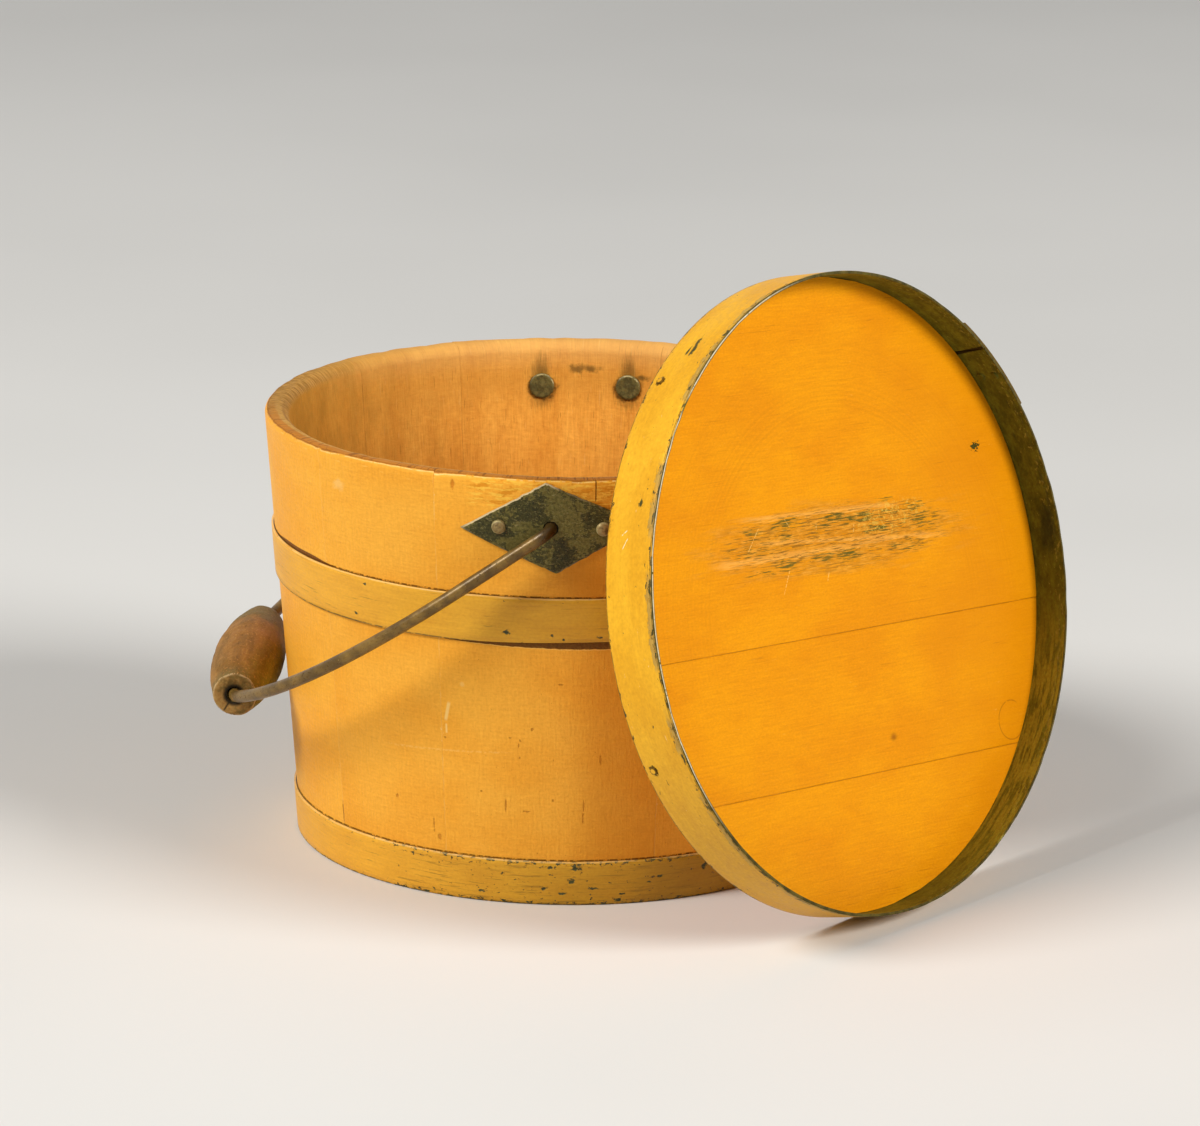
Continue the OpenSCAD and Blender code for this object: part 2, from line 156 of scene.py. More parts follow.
def noise_at(points, size, seed):
    """Smooth noise of about -0.6 to 0.6 at each point, with features of this size."""
    shift = Vector((seed * 17.3, seed * 5.1, seed * 9.7))
    return np.array([noise.noise(Vector(p) / size + shift) for p in np.reshape(points, (-1, 3))])


def grid_of(rows):
    return np.array(rows, float)


def add_piece(name, patches, body, stands_for, material, wear=None, board=0.0, edge=None, crease_deg=38):
    """One closed mesh from grids of points that share their borders.

    wear moves its points. board tells like pieces apart in their material, and edge gives each point's
    distance from a seam or border, both as named facts of the mesh.
    """
    points, faces = [], []
    for patch in patches:
        rows, columns = patch.shape[:2]
        first = len(points)
        points.extend(patch.reshape(-1, 3).tolist())
        for i in range(rows - 1):
            for j in range(columns - 1):
                corner = first + i * columns + j
                faces.append((corner, corner + 1, corner + columns + 1, corner + columns))
    mesh = bpy.data.meshes.new(name)
    mesh.from_pydata(points, [], faces)
    edit = bmesh.new()
    edit.from_mesh(mesh)
    bmesh.ops.remove_doubles(edit, verts=edit.verts, dist=0.004 * MM)
    bmesh.ops.dissolve_degenerate(edit, edges=edit.edges, dist=0.002 * MM)
    bmesh.ops.recalc_face_normals(edit, faces=edit.faces)
    edit.to_mesh(mesh)
    edit.free()
    places = np.zeros(len(mesh.vertices) * 3)
    mesh.vertices.foreach_get("co", places)
    places = places.reshape(-1, 3)
    facts = {"board": np.full(len(places), board), "edge": edge(places) if edge else np.ones(len(places))}
    for fact, values in facts.items():
        mesh.attributes.new(fact, "FLOAT", "POINT").data.foreach_set("value", values)
    if wear:
        mesh.vertices.foreach_set("co", wear(places).ravel())
    mesh.polygons.foreach_set("use_smooth", [True] * len(mesh.polygons))
    mesh.set_sharp_from_angle(angle=math.radians(crease_deg))
    mesh.update()
    piece = bpy.data.objects.new(name, mesh)
    bpy.context.scene.collection.objects.link(piece)
    mesh.materials.append(material)
    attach(piece, body)
    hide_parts(*stands_for)
    return piece


def at_wall(az, depth, z):
    """The point at this azimuth in radians, this far in from the wall's outside, at this height."""
    r = BASE_R + SLOPE * z - depth * LEVEL
    return np.stack(np.broadcast_arrays(r * np.cos(az), r * np.sin(az), z), -1)


def at_lid(az, r, depth):
    """The point of the lid at this angle in its plane, this far from its axis and from its outside."""
    across, up = r * np.cos(az), r * np.sin(az)
    spread = np.stack(np.broadcast_arrays(across, up, depth), -1)
    return np.array(LID_CENTRE) + spread @ np.array([LID_ACROSS, LID_UP, LID_OUT])


def turned(rows, sides, place, out_of_round=None):
    """A patch turned on an axis: rows are (radius, height), and place puts (x, y, height) where it goes."""
    turn = np.linspace(0, 2 * math.pi, sides + 1)
    turn[-1] = 0
    patch = []
    for radius, height in rows:
        r = radius * (out_of_round(turn) if out_of_round else 1)
        patch.append(place(r * np.cos(turn), r * np.sin(turn), np.full(turn.shape, height)))
    return grid_of(patch)


def on_axes(origin, x_axis, y_axis, z_axis):
    """A place function for turned(), from an origin and three axes."""
    axes = np.array([x_axis, y_axis, z_axis])
    start = np.array(origin)
    return lambda x, y, z: start + np.stack(np.broadcast_arrays(x, y, z), -1) @ axes


def dome(radius, height, skirt):
    """Rows of a hammered rivet head, from its edge below the surface to its top."""
    turns = np.linspace(0, math.pi / 2, 7)
    return [(radius, -skirt)] + [(radius * math.cos(t), height * math.sin(t) ** 0.9) for t in turns[:-1]] + [(0, height)]


def squared(turn):
    """An outline for turned() with four rounded sides."""
    return 1 / np.maximum(np.abs(np.cos(turn)), np.abs(np.sin(turn))) ** 0.8


# Camera: solved from the photograph's rim, hoop, foot and lid
CAMERA_PLACE = Vector((1.7843, -2.0346, 0.867))
CAMERA_RIGHT = Vector((0.7538, 0.6571, 0.0101))
CAMERA_UP = Vector((-0.1793, 0.1909, 0.9651))
IMAGE_WIDTH_PX = 1200
FOCAL_PX = 5666.5


def add_camera():
    data = bpy.data.cameras.new("camera")
    data.sensor_width = 36
    data.lens = data.sensor_width * FOCAL_PX / IMAGE_WIDTH_PX
    data.clip_start, data.clip_end = 0.1, 60
    camera = bpy.data.objects.new("camera", data)
    turn = Matrix((CAMERA_RIGHT, CAMERA_UP, CAMERA_RIGHT.cross(CAMERA_UP))).transposed()
    camera.matrix_world = Matrix.Translation(CAMERA_PLACE) @ turn.to_4x4()
    bpy.context.scene.collection.objects.link(camera)
    bpy.context.scene.camera = camera


# Materials
def srgb(red, green, blue):
    """A linear colour from the 0 to 255 levels in which a picture shows it."""

    def linear(level):
        v = level / 255
        return v / 12.92 if v <= 0.04045 else ((v + 0.055) / 1.055) ** 2.4

    return (linear(red), linear(green), linear(blue), 1.0)


class Surface:
    """A procedural material: every method adds nodes and returns the socket that holds the result."""

    def __init__(self, name, specular=0.45):
        self.material = bpy.data.materials.new(name)
        self.material.use_nodes = True
        self.tree = self.material.node_tree
        self.shader = self.tree.nodes["Principled BSDF"]
        self.shader.inputs["Specular IOR Level"].default_value = specular
        self.object_place = self.node("TexCoord").outputs["Object"]

    def node(self, kind, *inputs, **settings):
        made = self.tree.nodes.new("ShaderNode" + kind)
        for name, value in settings.items():
            setattr(made, name, value)
        for socket, value in zip(made.inputs, inputs):
            self.put(socket, value)
        return made

    def put(self, socket, value):
        if isinstance(value, bpy.types.NodeSocket):
            self.tree.links.new(value, socket)
        elif value is not None:
            socket.default_value = value

    def math(self, operation, a, b=0.0, clamp=False):
        return self.node("Math", a, b, operation=operation, use_clamp=clamp).outputs[0]

    def times(self, *values):
        total = values[0]
        for value in values[1:]:
            total = self.math("MULTIPLY", total, value)
        return total

    def plus(self, a, b):
        return self.math("ADD", a, b)

    def minus(self, a, b):
        return self.math("SUBTRACT", a, b)

    def either(self, *masks):
        total = masks[0]
        for mask in masks[1:]:
            total = self.math("MAXIMUM", total, mask)
        return total

    def inverse(self, mask):
        return self.math("SUBTRACT", 1.0, mask, clamp=True)

    def step(self, value, low, high):
        """0 below low and 1 above high, or the other way round where low is the larger."""
        made = self.node("MapRange", value, low, high, 0.0, 1.0, interpolation_type="SMOOTHSTEP")
        return made.outputs[0]

    def between(self, value, low, high, soft):
        return self.times(self.step(value, low - soft, low + soft), self.step(value, high + soft, high - soft))

    def join(self, x, y, z=0.0):
        return self.node("CombineXYZ", x, y, z).outputs[0]

    def along(self, origin, axis):
        """Distance from a point along an axis."""
        away = self.node("VectorMath", self.object_place, tuple(origin), operation="SUBTRACT").outputs[0]
        return self.node("VectorMath", away, tuple(axis), operation="DOT_PRODUCT").outputs["Value"]

    def noise(self, place, size, detail=2.0, roughness=0.5, distortion=0.0):
        """Noise from 0 to 1, mostly 0.3 to 0.7, with features of this size along each axis."""
        per_metre = tuple(1 / s for s in size)
        scaled = self.node("VectorMath", place, per_metre, operation="MULTIPLY").outputs[0]
        made = self.node("TexNoise")
        for socket, value in (("Vector", scaled), ("Scale", 1.0), ("Detail", detail), ("Roughness", roughness), ("Distortion", distortion)):
            self.put(made.inputs[socket], value)
        return made.outputs[0]

    def mix(self, factor, a, b, blend="MIX"):
        made = self.node("Mix", data_type="RGBA", blend_type=blend)
        self.put(made.inputs[0], factor)
        self.put(made.inputs[6], a)
        self.put(made.inputs[7], b)
        return made.outputs[2]

    def shade(self, colour, amount, value):
        """The colour made lighter or darker by noise. Its darks are redder: amount is the change in green."""
        swing = self.minus(value, 0.5)
        levels = [self.plus(1.0, self.times(swing, 2 * amount * share)) for share in (0.65, 1.0, 1.3)]
        return self.mix(1.0, colour, self.node("CombineColor", *levels).outputs[0], "MULTIPLY")

    def spot(self, x, y, centre, size, soft=0.3, ragged=None, ragged_by=0.0):
        """An oval mark: 1 inside and 0 outside, with an edge broken by noise."""
        dx = self.math("DIVIDE", self.minus(x, centre[0]), size[0])
        dy = self.math("DIVIDE", self.minus(y, centre[1]), size[1])
        reach = self.math("SQRT", self.plus(self.times(dx, dx), self.times(dy, dy)))
        if ragged is not None:
            reach = self.plus(reach, self.times(self.minus(ragged, 0.5), 2 * ragged_by))
        return self.step(reach, 1 + soft, 1 - soft)

    def line(self, x, y, start, end, width):
        """A thin straight scratch between two points."""
        run = Vector(end) - Vector(start)
        length = run.length
        direction = run / length
        dx, dy = self.minus(x, start[0]), self.minus(y, start[1])
        forward = self.plus(self.times(dx, direction[0]), self.times(dy, direction[1]))
        aside = self.math("ABSOLUTE", self.minus(self.times(dx, direction[1]), self.times(dy, direction[0])))
        return self.times(self.between(forward, 0.0, length, 0.1 * length), self.step(aside, width, width * 0.4))

    def finish(self, colour, roughness, bump=(), metallic=None):
        """Links the shader. Each bump is (height from 0 to 1, depth in metres)."""
        self.put(self.shader.inputs["Base Color"], colour)
        self.put(self.shader.inputs["Roughness"], roughness)
        self.put(self.shader.inputs["Metallic"], metallic)
        normal = None
        for height, depth in bump:
            made = self.node("Bump")
            self.put(made.inputs["Height"], height)
            self.put(made.inputs["Distance"], depth)
            self.put(made.inputs["Strength"], 1.0)
            self.put(made.inputs["Normal"], normal)
            normal = made.outputs[0]
        self.put(self.shader.inputs["Normal"], normal)
        return self.material

    # Places on the pail and on the lid, each as (along the surface, up or out, into the surface)
    def on_wall(self, cut_az=26):
        """Arc length round the wall from a hidden joint, height, and depth below the wall's outside."""
        turn = math.radians(cut_az + 180)
        x = self.along((0, 0, 0), (math.cos(turn), math.sin(turn), 0))
        y = self.along((0, 0, 0), (-math.sin(turn), math.cos(turn), 0))
        z = self.along((0, 0, 0), (0, 0, 1))
        radius = self.math("SQRT", self.plus(self.times(x, x), self.times(y, y)))
        arc = self.times(self.math("ARCTAN2", y, x), RIM_R)
        depth = self.minus(self.plus(BASE_R, self.times(z, SLOPE)), radius)
        return arc, z, depth

    def arc_of(self, az, cut_az=26):
        """The arc length that on_wall() gives at an azimuth in degrees."""
        return math.radians((az - cut_az) % 360 - 180) * RIM_R

    def on_lid(self):
        return tuple(self.along(LID_CENTRE, axis) for axis in (LID_ACROSS, LID_UP, LID_OUT))

    def fact(self, name):
        """A number that the mesh holds for each of its points."""
        return self.node("Attribute", attribute_name=name).outputs["Fac"]


def pine(s, across, up, seed, light, dark):
    """Bare softwood: the colour and a height, with the grain along up."""
    place = s.join(across, up, seed)
    wide = s.noise(place, (0.016, 0.09, 1), 3, 0.5)
    fine = s.noise(place, (0.0010, 0.016, 1), 4, 0.65)
    pores = s.noise(place, (0.0008, 0.012, 1), 2, 0.5)
    planed = s.noise(place, (0.005, 0.0014, 1), 3, 0.6)
    blotch = s.noise(place, (0.0035, 0.0045, 1), 4, 0.68)
    colour = s.mix(s.step(wide, 0.34, 0.68), light, dark)
    for amount, value in ((0.32, fine), (0.18, planed), (0.30, blotch)):
        colour = s.shade(colour, amount, value)
    streak = s.step(pores, 0.66, 0.70)
    colour = s.mix(s.times(streak, 0.5), colour, srgb(142, 80, 22))
    pale = s.step(pores, 0.33, 0.28)
    colour = s.mix(s.times(pale, 0.3), colour, srgb(255, 212, 130))
    return colour, s.plus(s.times(fine, 0.6), s.times(planed, 0.4))


def stave_material():
    """Paint on the wall's outside, worn off at the rim, and bare pine on the rest of the stave."""
    s = Surface("stave_paint", specular=0.1)
    arc, z, depth = s.on_wall()
    board = s.fact("board")
    to_seam = s.fact("edge")
    place = s.join(arc, z, board)
    from_rim = s.minus(PAIL_H, z)
    # Old paint with level brush lines over upright grain
    slow = s.noise(place, (0.06, 0.04, 1), 3, 0.5)
    brush = s.noise(place, (0.010, 0.0013, 1), 3, 0.65)
    grain = s.noise(place, (0.0013, 0.010, 1), 3, 0.65)
    mottle = s.noise(place, (0.005, 0.0035, 1), 4, 0.65)
    crisp = s.noise(place, (0.0015, 0.0013, 1), 2, 0.5)
    tone = s.noise(s.join(board, 0.0, 0.0), (1.7, 1, 1), 0)
    paint = s.mix(s.step(slow, 0.34, 0.66), srgb(250, 179, 62), srgb(246, 170, 53))
    for amount, value in ((0.15, brush), (0.15, grain), (0.04, mottle), (0.16, crisp), (0.06, tone)):
        paint = s.shade(paint, amount, value)
    specks = s.step(s.noise(place, (0.0011, 0.0022, 1), 3, 0.6), 0.715, 0.735)
    paint = s.mix(s.times(specks, 0.6), paint, srgb(168, 92, 14))
    scuffs = s.step(s.noise(place, (0.0045, 0.0011, 1), 3, 0.7), 0.745, 0.76)
    paint = s.mix(s.times(scuffs, 0.35), paint, srgb(255, 216, 124))
    smudge = s.spot(arc, z, (s.arc_of(-96.3), 0.1981), (3.2 * MM, 2.6 * MM), 0.6, mottle, 1.6)
    paint = s.mix(s.times(smudge, 0.3), paint, srgb(255, 222, 150))
    ding = s.spot(arc, z, (s.arc_of(-70.2), 0.2085), (1.0 * MM, 2.1 * MM), 0.3, mottle, 1.2)
    paint = s.mix(s.times(ding, 0.7), paint, srgb(200, 112, 18))
    # Joints: a faint pale hairline, and chips and ticks found on the front
    run = s.noise(place, (0.004, 0.011, 1), 3, 0.6)
    hairline = s.times(s.step(to_seam, 0.0006, 0.0001), s.step(run, 0.40, 0.60))
    paint = s.mix(s.times(hairline, 0.3), paint, srgb(255, 214, 120))
    chip = s.plus(s.noise(place, (0.0015, 0.003, 1), 4, 0.7), s.times(s.step(to_seam, 0.0028, 0.0), 0.09))
    paint = s.mix(s.times(s.step(chip, 0.725, 0.74), 0.6), paint, srgb(255, 222, 150))
    seam = s.arc_of(-73.2)
    flakes = (
        s.line(arc, z, (seam + 0.3 * MM, 0.0900), (seam + 2.4 * MM, 0.0990), 1.2 * MM),
        s.line(arc, z, (seam + 0.6 * MM, 0.0835), (seam + 0.5 * MM, 0.0880), 0.7 * MM),
        s.times(s.spot(arc, z, (seam + 10 * MM, 0.109), (1.1 * MM, 1.1 * MM), 0.5), 0.5),
    )
    paint = s.mix(s.times(s.either(*flakes), 0.8), paint, srgb(255, 214, 128))
    ticks = s.either(*[
        s.spot(arc, z, (s.arc_of(az), height * MM), (wide * MM, tall * MM), 0.35, crisp, 0.9)
        for az, height, wide, tall in DENTS
    ])
    paint = s.mix(s.times(ticks, 0.55), paint, srgb(176, 100, 20))
    level_scratch = s.line(arc, z, (s.arc_of(-86), 0.0727), (s.arc_of(-61), 0.0764), 0.0007)
    paint = s.mix(s.times(level_scratch, s.step(crisp, 0.40, 0.60), 0.25), paint, srgb(255, 214, 130))
    # Painted shadow of the lid on the staves beside it
    painted_lid_shadow = s.times(s.step(arc, s.arc_of(-51), s.arc_of(-41)), s.step(arc, s.arc_of(-18), s.arc_of(-34)), 0.45)
    paint = s.mix(painted_lid_shadow, paint, s.shade(srgb(200, 124, 22), 0.15, grain))
    # Painted shadow below the plate's lower right edge
    plate_shadow = s.spot(arc, z, (s.arc_of(-45.5), 0.1625), (17 * MM, 11 * MM), 0.7, mottle, 0.3)
    paint = s.mix(s.times(plate_shadow, 0.55), paint, srgb(184, 112, 18))
    # Worn band below the rim: broken yellow strokes and deeper orange patches, most of it in front
    strokes = s.noise(place, (0.0085, 0.0014, 1), 4, 0.7, 0.4)
    patches = s.noise(place, (0.010, 0.0035, 1), 3, 0.6)
    worn = s.times(s.between(arc, s.arc_of(-67), s.arc_of(-24), 0.004), s.step(from_rim, 0.0165, 0.0135))
    paint = s.mix(s.times(worn, s.step(patches, 0.53, 0.57), 0.65), paint, srgb(216, 134, 20))
    paint = s.mix(s.times(worn, s.step(strokes, 0.53, 0.56), 0.75), paint, srgb(255, 202, 76))
    elsewhere = s.times(s.step(from_rim, 0.007, 0.004), s.step(strokes, 0.60, 0.64), s.inverse(worn))
    paint = s.mix(s.times(elsewhere, 0.5), paint, srgb(255, 206, 104))
    crack = s.arc_of(-43.95)
    split = s.line(arc, z, (crack, PAIL_H - 0.0105), (crack, PAIL_H - 0.0005), 0.0004)
    paint = s.mix(s.times(split, 0.8), paint, srgb(110, 60, 12))
    # Where the upper hoop has slipped: a bare wedge above it at the left, a bare strip below it at the right
    above = s.minus(z, UPPER_HOOP[1])
    wedge = s.times(s.step(arc, s.arc_of(-130), s.arc_of(-117)), s.step(arc, s.arc_of(-97), s.arc_of(-108)), 2.1 * MM)
    in_wedge = s.times(s.step(s.minus(above, wedge), 0.0001, -0.0002), s.step(above, -0.006, -0.005))
    paint = s.mix(s.times(in_wedge, s.step(wedge, 0.0002, 0.0004)), paint, s.shade(srgb(124, 74, 26), 0.4, crisp))
    below = s.minus(UPPER_HOOP[0], z)
    strip_w = s.times(s.step(arc, s.arc_of(-84), s.arc_of(-44)), s.step(arc, s.arc_of(0), s.arc_of(-20)), 1.8 * MM)
    ragged = s.plus(s.minus(below, strip_w), s.times(s.minus(mottle, 0.5), 0.0012))
    in_strip = s.times(s.step(ragged, 0.0001, -0.0001), s.step(below, -0.004, -0.0038), s.step(strip_w, 0.0001, 0.0003))
    ridge = s.times(s.between(ragged, 0.0001, 0.0005, 0.00015), s.step(strip_w, 0.0004, 0.0008))
    paint = s.mix(in_strip, paint, s.shade(srgb(116, 76, 26), 0.7, crisp))
    paint = s.mix(s.times(ridge, 0.6), paint, srgb(255, 206, 110))
    # Painted shade in the gap just above each hoop, broken along its length
    shade_over_hoops = [s.between(s.minus(z, hoop[1]), 0.0, 0.0008, 0.0002) for hoop in (UPPER_HOOP, LOWER_HOOP)]
    broken = s.times(s.step(run, 0.36, 0.48), s.step(s.plus(crisp, mottle), 0.80, 0.98))
    paint = s.mix(s.times(s.either(*shade_over_hoops), broken, 0.85), paint, srgb(104, 64, 18))
    # Bare wood
    wood, wood_height = pine(s, arc, z, board, srgb(238, 170, 70), srgb(224, 152, 56))
    # A darker olive zone on the inside at the left: partly grime, partly painted shade
    cloud = s.noise(place, (0.010, 0.020, 1), 5, 0.68)
    grime_and_shade = s.step(s.plus(arc, s.times(s.minus(cloud, 0.5), 0.07)), s.arc_of(138), s.arc_of(212))
    grime_and_shade = s.times(grime_and_shade, s.step(arc, s.arc_of(-112), s.arc_of(-140)))
    wood = s.mix(s.times(grime_and_shade, 0.9), wood, s.shade(s.mix(s.step(cloud, 0.36, 0.66), srgb(174, 124, 46), srgb(156, 113, 41)), 0.35, grain))
    # Painted highlight where the rounded inner edge of the rim catches the light
    rounded = s.step(s.plus(from_rim, s.times(s.minus(mottle, 0.5), 0.010)), 0.018, 0.004)
    wood = s.mix(s.times(rounded, s.inverse(grime_and_shade), 0.22), wood, srgb(240, 182, 98))
    at_back = s.times(s.step(arc, s.arc_of(-150), s.arc_of(-170)), s.step(arc, s.arc_of(30), s.arc_of(58)))
    # Painted shade in a band below the rim on the inside at the back
    shade_below_rim = s.times(s.step(from_rim, 0.040, 0.016), s.step(from_rim, 0.002, 0.022), s.inverse(grime_and_shade))
    wood = s.mix(s.times(shade_below_rim, at_back, 0.45), wood, srgb(192, 132, 50))
    flat_top = s.times(s.step(from_rim, 0.0180, 0.0010), at_back, s.inverse(grime_and_shade), 0.34)
    wood = s.mix(flat_top, wood, srgb(200, 162, 108))
    hair = s.times(s.step(to_seam, 0.0004, 0.0001), s.step(run, 0.4, 0.55), 0.3)
    wood = s.mix(hair, wood, srgb(128, 76, 22))
    for side in (PLATE_AZ, PLATE_AZ + 180):
        wood = s.mix(iron_stain(s, arc, z, side), wood, srgb(50, 46, 18))
    # The rim's top: strokes across the wall at the left, and layers worn through to the wood in front
    on_top = s.times(s.step(from_rim, 0.0062, 0.0030), s.step(arc, s.arc_of(20), s.arc_of(-8)))
    across_wall = s.noise(s.join(arc, depth, board), (0.0011, 0.006, 1), 3, 0.65)
    at_left = s.times(s.step(arc, s.arc_of(170), s.arc_of(205)), on_top)
    wood = s.mix(s.times(at_left, 0.75), wood, s.mix(s.step(across_wall, 0.40, 0.62), srgb(134, 96, 42), srgb(196, 148, 80)))
    in_front = s.times(s.step(arc, s.arc_of(-146), s.arc_of(-118)), on_top)
    layers = s.mix(s.step(s.plus(depth, s.times(s.minus(strokes, 0.5), 0.003)), 0.0052, 0.0060), srgb(190, 118, 38), srgb(200, 150, 74))
    inner_line = s.between(depth, 0.0086, 0.0098, 0.0004)
    layers = s.mix(s.times(inner_line, 0.7), layers, srgb(126, 76, 26))
    dark_bits = s.step(s.plus(crisp, s.times(mottle, 0.5)), 0.83, 0.87)
    wood = s.mix(s.times(in_front, 0.85), wood, s.mix(s.times(dark_bits, 0.7), layers, srgb(112, 64, 18)))
    arris = s.plus(depth, s.times(s.minus(strokes, 0.5), 0.0010))
    bare = s.step(arris, 0.0012, 0.0016)
    colour = s.mix(bare, paint, wood)
    at_rim = s.step(from_rim, 0.0045, 0.0030)
    # Painted highlight along the rim's outer arris
    arris_highlight = s.times(s.between(arris, 0.0008, 0.0011, 0.0002), at_rim, s.step(run, 0.38, 0.46), 0.7)
    colour = s.mix(s.times(arris_highlight, s.step(arc, s.arc_of(-118), s.arc_of(-96))), colour, srgb(255, 224, 146))
    thin_line = s.times(s.between(arris, 0.0012, 0.0020, 0.0003), at_rim, s.step(run, 0.3, 0.5), 0.6)
    colour = s.mix(thin_line, colour, srgb(150, 86, 28))
    # Painted shade in the gap round the bail's end
    ear_x, ear_z = s.minus(arc, s.arc_of(PLATE_AZ)), s.minus(z, HINGE.z)
    gap = s.times(s.spot(ear_x, ear_z, (0.0, 0.0), (6 * MM, 6 * MM), 0.2), s.step(depth, 0.010, 0.008))
    colour = s.mix(gap, colour, srgb(30, 26, 12))
    roughness = s.plus(s.times(bare, 0.2), s.plus(0.45, s.times(s.minus(mottle, 0.5), 0.3)))
    skin = s.plus(s.times(brush, 0.5), s.plus(s.times(grain, 0.5), s.times(crisp, 0.4)))
    heights = s.plus(s.times(s.inverse(bare), skin), s.times(bare, wood_height))
    dents = s.either(specks, ding, split, ticks, s.times(in_wedge, s.inverse(bare)), in_strip)
    return s.finish(colour, roughness, [(heights, 0.45 * MM), (dents, -0.3 * MM)])


def iron_stain(s, arc, z, side_az):
    """Black stain that the iron has left in the wood round the burrs of one ear."""
    ear = s.arc_of(side_az)
    hinge_z = HINGE.z
    run = s.noise(s.join(arc, z, 0.0), (0.0016, 0.012, 1), 3, 0.65)
    cloud = s.noise(s.join(arc, z, 3.0), (0.004, 0.004, 1), 4, 0.65)
    marks = []
    for side in (-1, 1):
        burr = ear + side * RIVET_GAP * RIM_R / (BASE_R + SLOPE * hinge_z)
        flame = s.spot(arc, z, (burr + 0.4 * MM, hinge_z + 6.5 * MM), (4.2 * MM, 8.5 * MM), 0.75, run, 0.9)
        drips = s.spot(arc, z, (burr, hinge_z - 6 * MM), (5.5 * MM, 4.5 * MM), 0.6, run, 1.5)
        ring = s.spot(arc, z, (burr, hinge_z), (7.6 * MM, 7.4 * MM), 0.3, cloud, 0.7)
        marks += [s.times(flame, 0.62), s.times(drips, 0.4), s.times(ring, 0.8)]
    for centre, tall in ((ear - 3.2 * MM, 1.6 * MM), (ear + 4.6 * MM, 1.9 * MM)):
        oval = s.spot(arc, z, (centre, hinge_z + 9.6 * MM), (4.6 * MM, tall), 0.7, cloud, 1.5)
        marks.append(s.times(oval, 0.65))
    small = s.spot(arc, z, (ear - 32.5 * MM, hinge_z + 6.2 * MM), (3.6 * MM, 1.3 * MM), 0.6, cloud, 1.3)
    return s.either(*marks, s.times(small, 0.7))


def hoop_material(name, low, high, chip_level, chipped_az, chips):
    """Mustard paint brushed along a strip of sheet iron, chipped most between two azimuths."""
    s = Surface(name, specular=0.25)
    arc, z, depth = s.on_wall()
    place = s.join(arc, z, low * 37)
    brush = s.noise(place, (0.022, 0.0010, 1), 4, 0.65)
    slow = s.noise(place, (0.03, 0.012, 1), 3, 0.55)
    crisp = s.noise(place, (0.0018, 0.0014, 1), 3, 0.6)
    olive = s.times(s.step(arc, s.arc_of(-100), s.arc_of(-30)), s.step(arc, s.arc_of(18), s.arc_of(-10)))
    paint = s.mix(olive, srgb(238, 172, 48), srgb(204, 152, 37))
    # Painted shadow of the lid on the hoop, towards the lid
    shaded = s.times(s.step(arc, s.arc_of(-40), s.arc_of(-26)), s.step(arc, s.arc_of(10), s.arc_of(-14)))
    paint = s.mix(s.times(shaded, 0.6), paint, srgb(160, 122, 28))
    for amount, value in ((0.22, brush), (0.22, slow), (0.18, crisp)):
        paint = s.shade(paint, amount, value)
    long_dark = s.noise(place, (0.022, 0.0014, 2), 4, 0.65)
    zone = s.between(arc, s.arc_of(chipped_az[0]), s.arc_of(chipped_az[1]), 0.02)
    paint = s.mix(s.times(s.step(s.plus(long_dark, s.times(zone, 0.07)), 0.62, 0.70), 0.45), paint, srgb(140, 102, 30))
    to_edge = s.math("MINIMUM", s.minus(z, low), s.minus(high, z))
    chip = s.noise(place, (0.0032, 0.0020, 1), 5, 0.68, 0.3)
    lift = s.plus(s.times(s.step(to_edge, 0.0040, 0.0), 0.10), s.times(zone, 0.06))
    named = s.either(*[
        s.spot(arc, z, (s.arc_of(az), height * MM), (wide * MM, tall * MM), 0.3, crisp, 1.8)
        for az, height, wide, tall in chips
    ])
    dark = s.either(named, s.step(s.plus(chip, lift), chip_level, chip_level + 0.012))
    iron = s.shade(s.mix(s.step(brush, 0.42, 0.58), srgb(84, 86, 46), srgb(56, 58, 28)), 0.4, crisp)
    colour = s.mix(dark, paint, iron)
    rub = s.step(s.plus(chip, lift), chip_level - 0.014, chip_level - 0.002)
    colour = s.mix(s.times(rub, s.inverse(dark), 0.6), colour, srgb(176, 106, 28))
    # Painted highlight along the top edge
    top_highlight = s.times(s.step(z, high - 0.0008, high - 0.0004), s.step(brush, 0.40, 0.52))
    colour = s.mix(s.times(top_highlight, 0.5), colour, srgb(250, 214, 140))
    foot_line = s.times(s.step(z, low + 0.0010, low + 0.0004), s.step(chip, 0.38, 0.5))
    colour = s.mix(s.times(foot_line, 0.8), colour, srgb(84, 76, 38))
    colour = s.mix(s.step(depth, -0.0006, -0.0002), colour, srgb(60, 38, 14))
    rough = s.plus(0.42, s.times(s.minus(crisp, 0.5), 0.4))
    height = s.plus(s.times(brush, 0.4), s.plus(s.times(crisp, 0.25), s.times(s.inverse(dark), 0.5)))
    return s.finish(colour, rough, [(height, 0.35 * MM)])


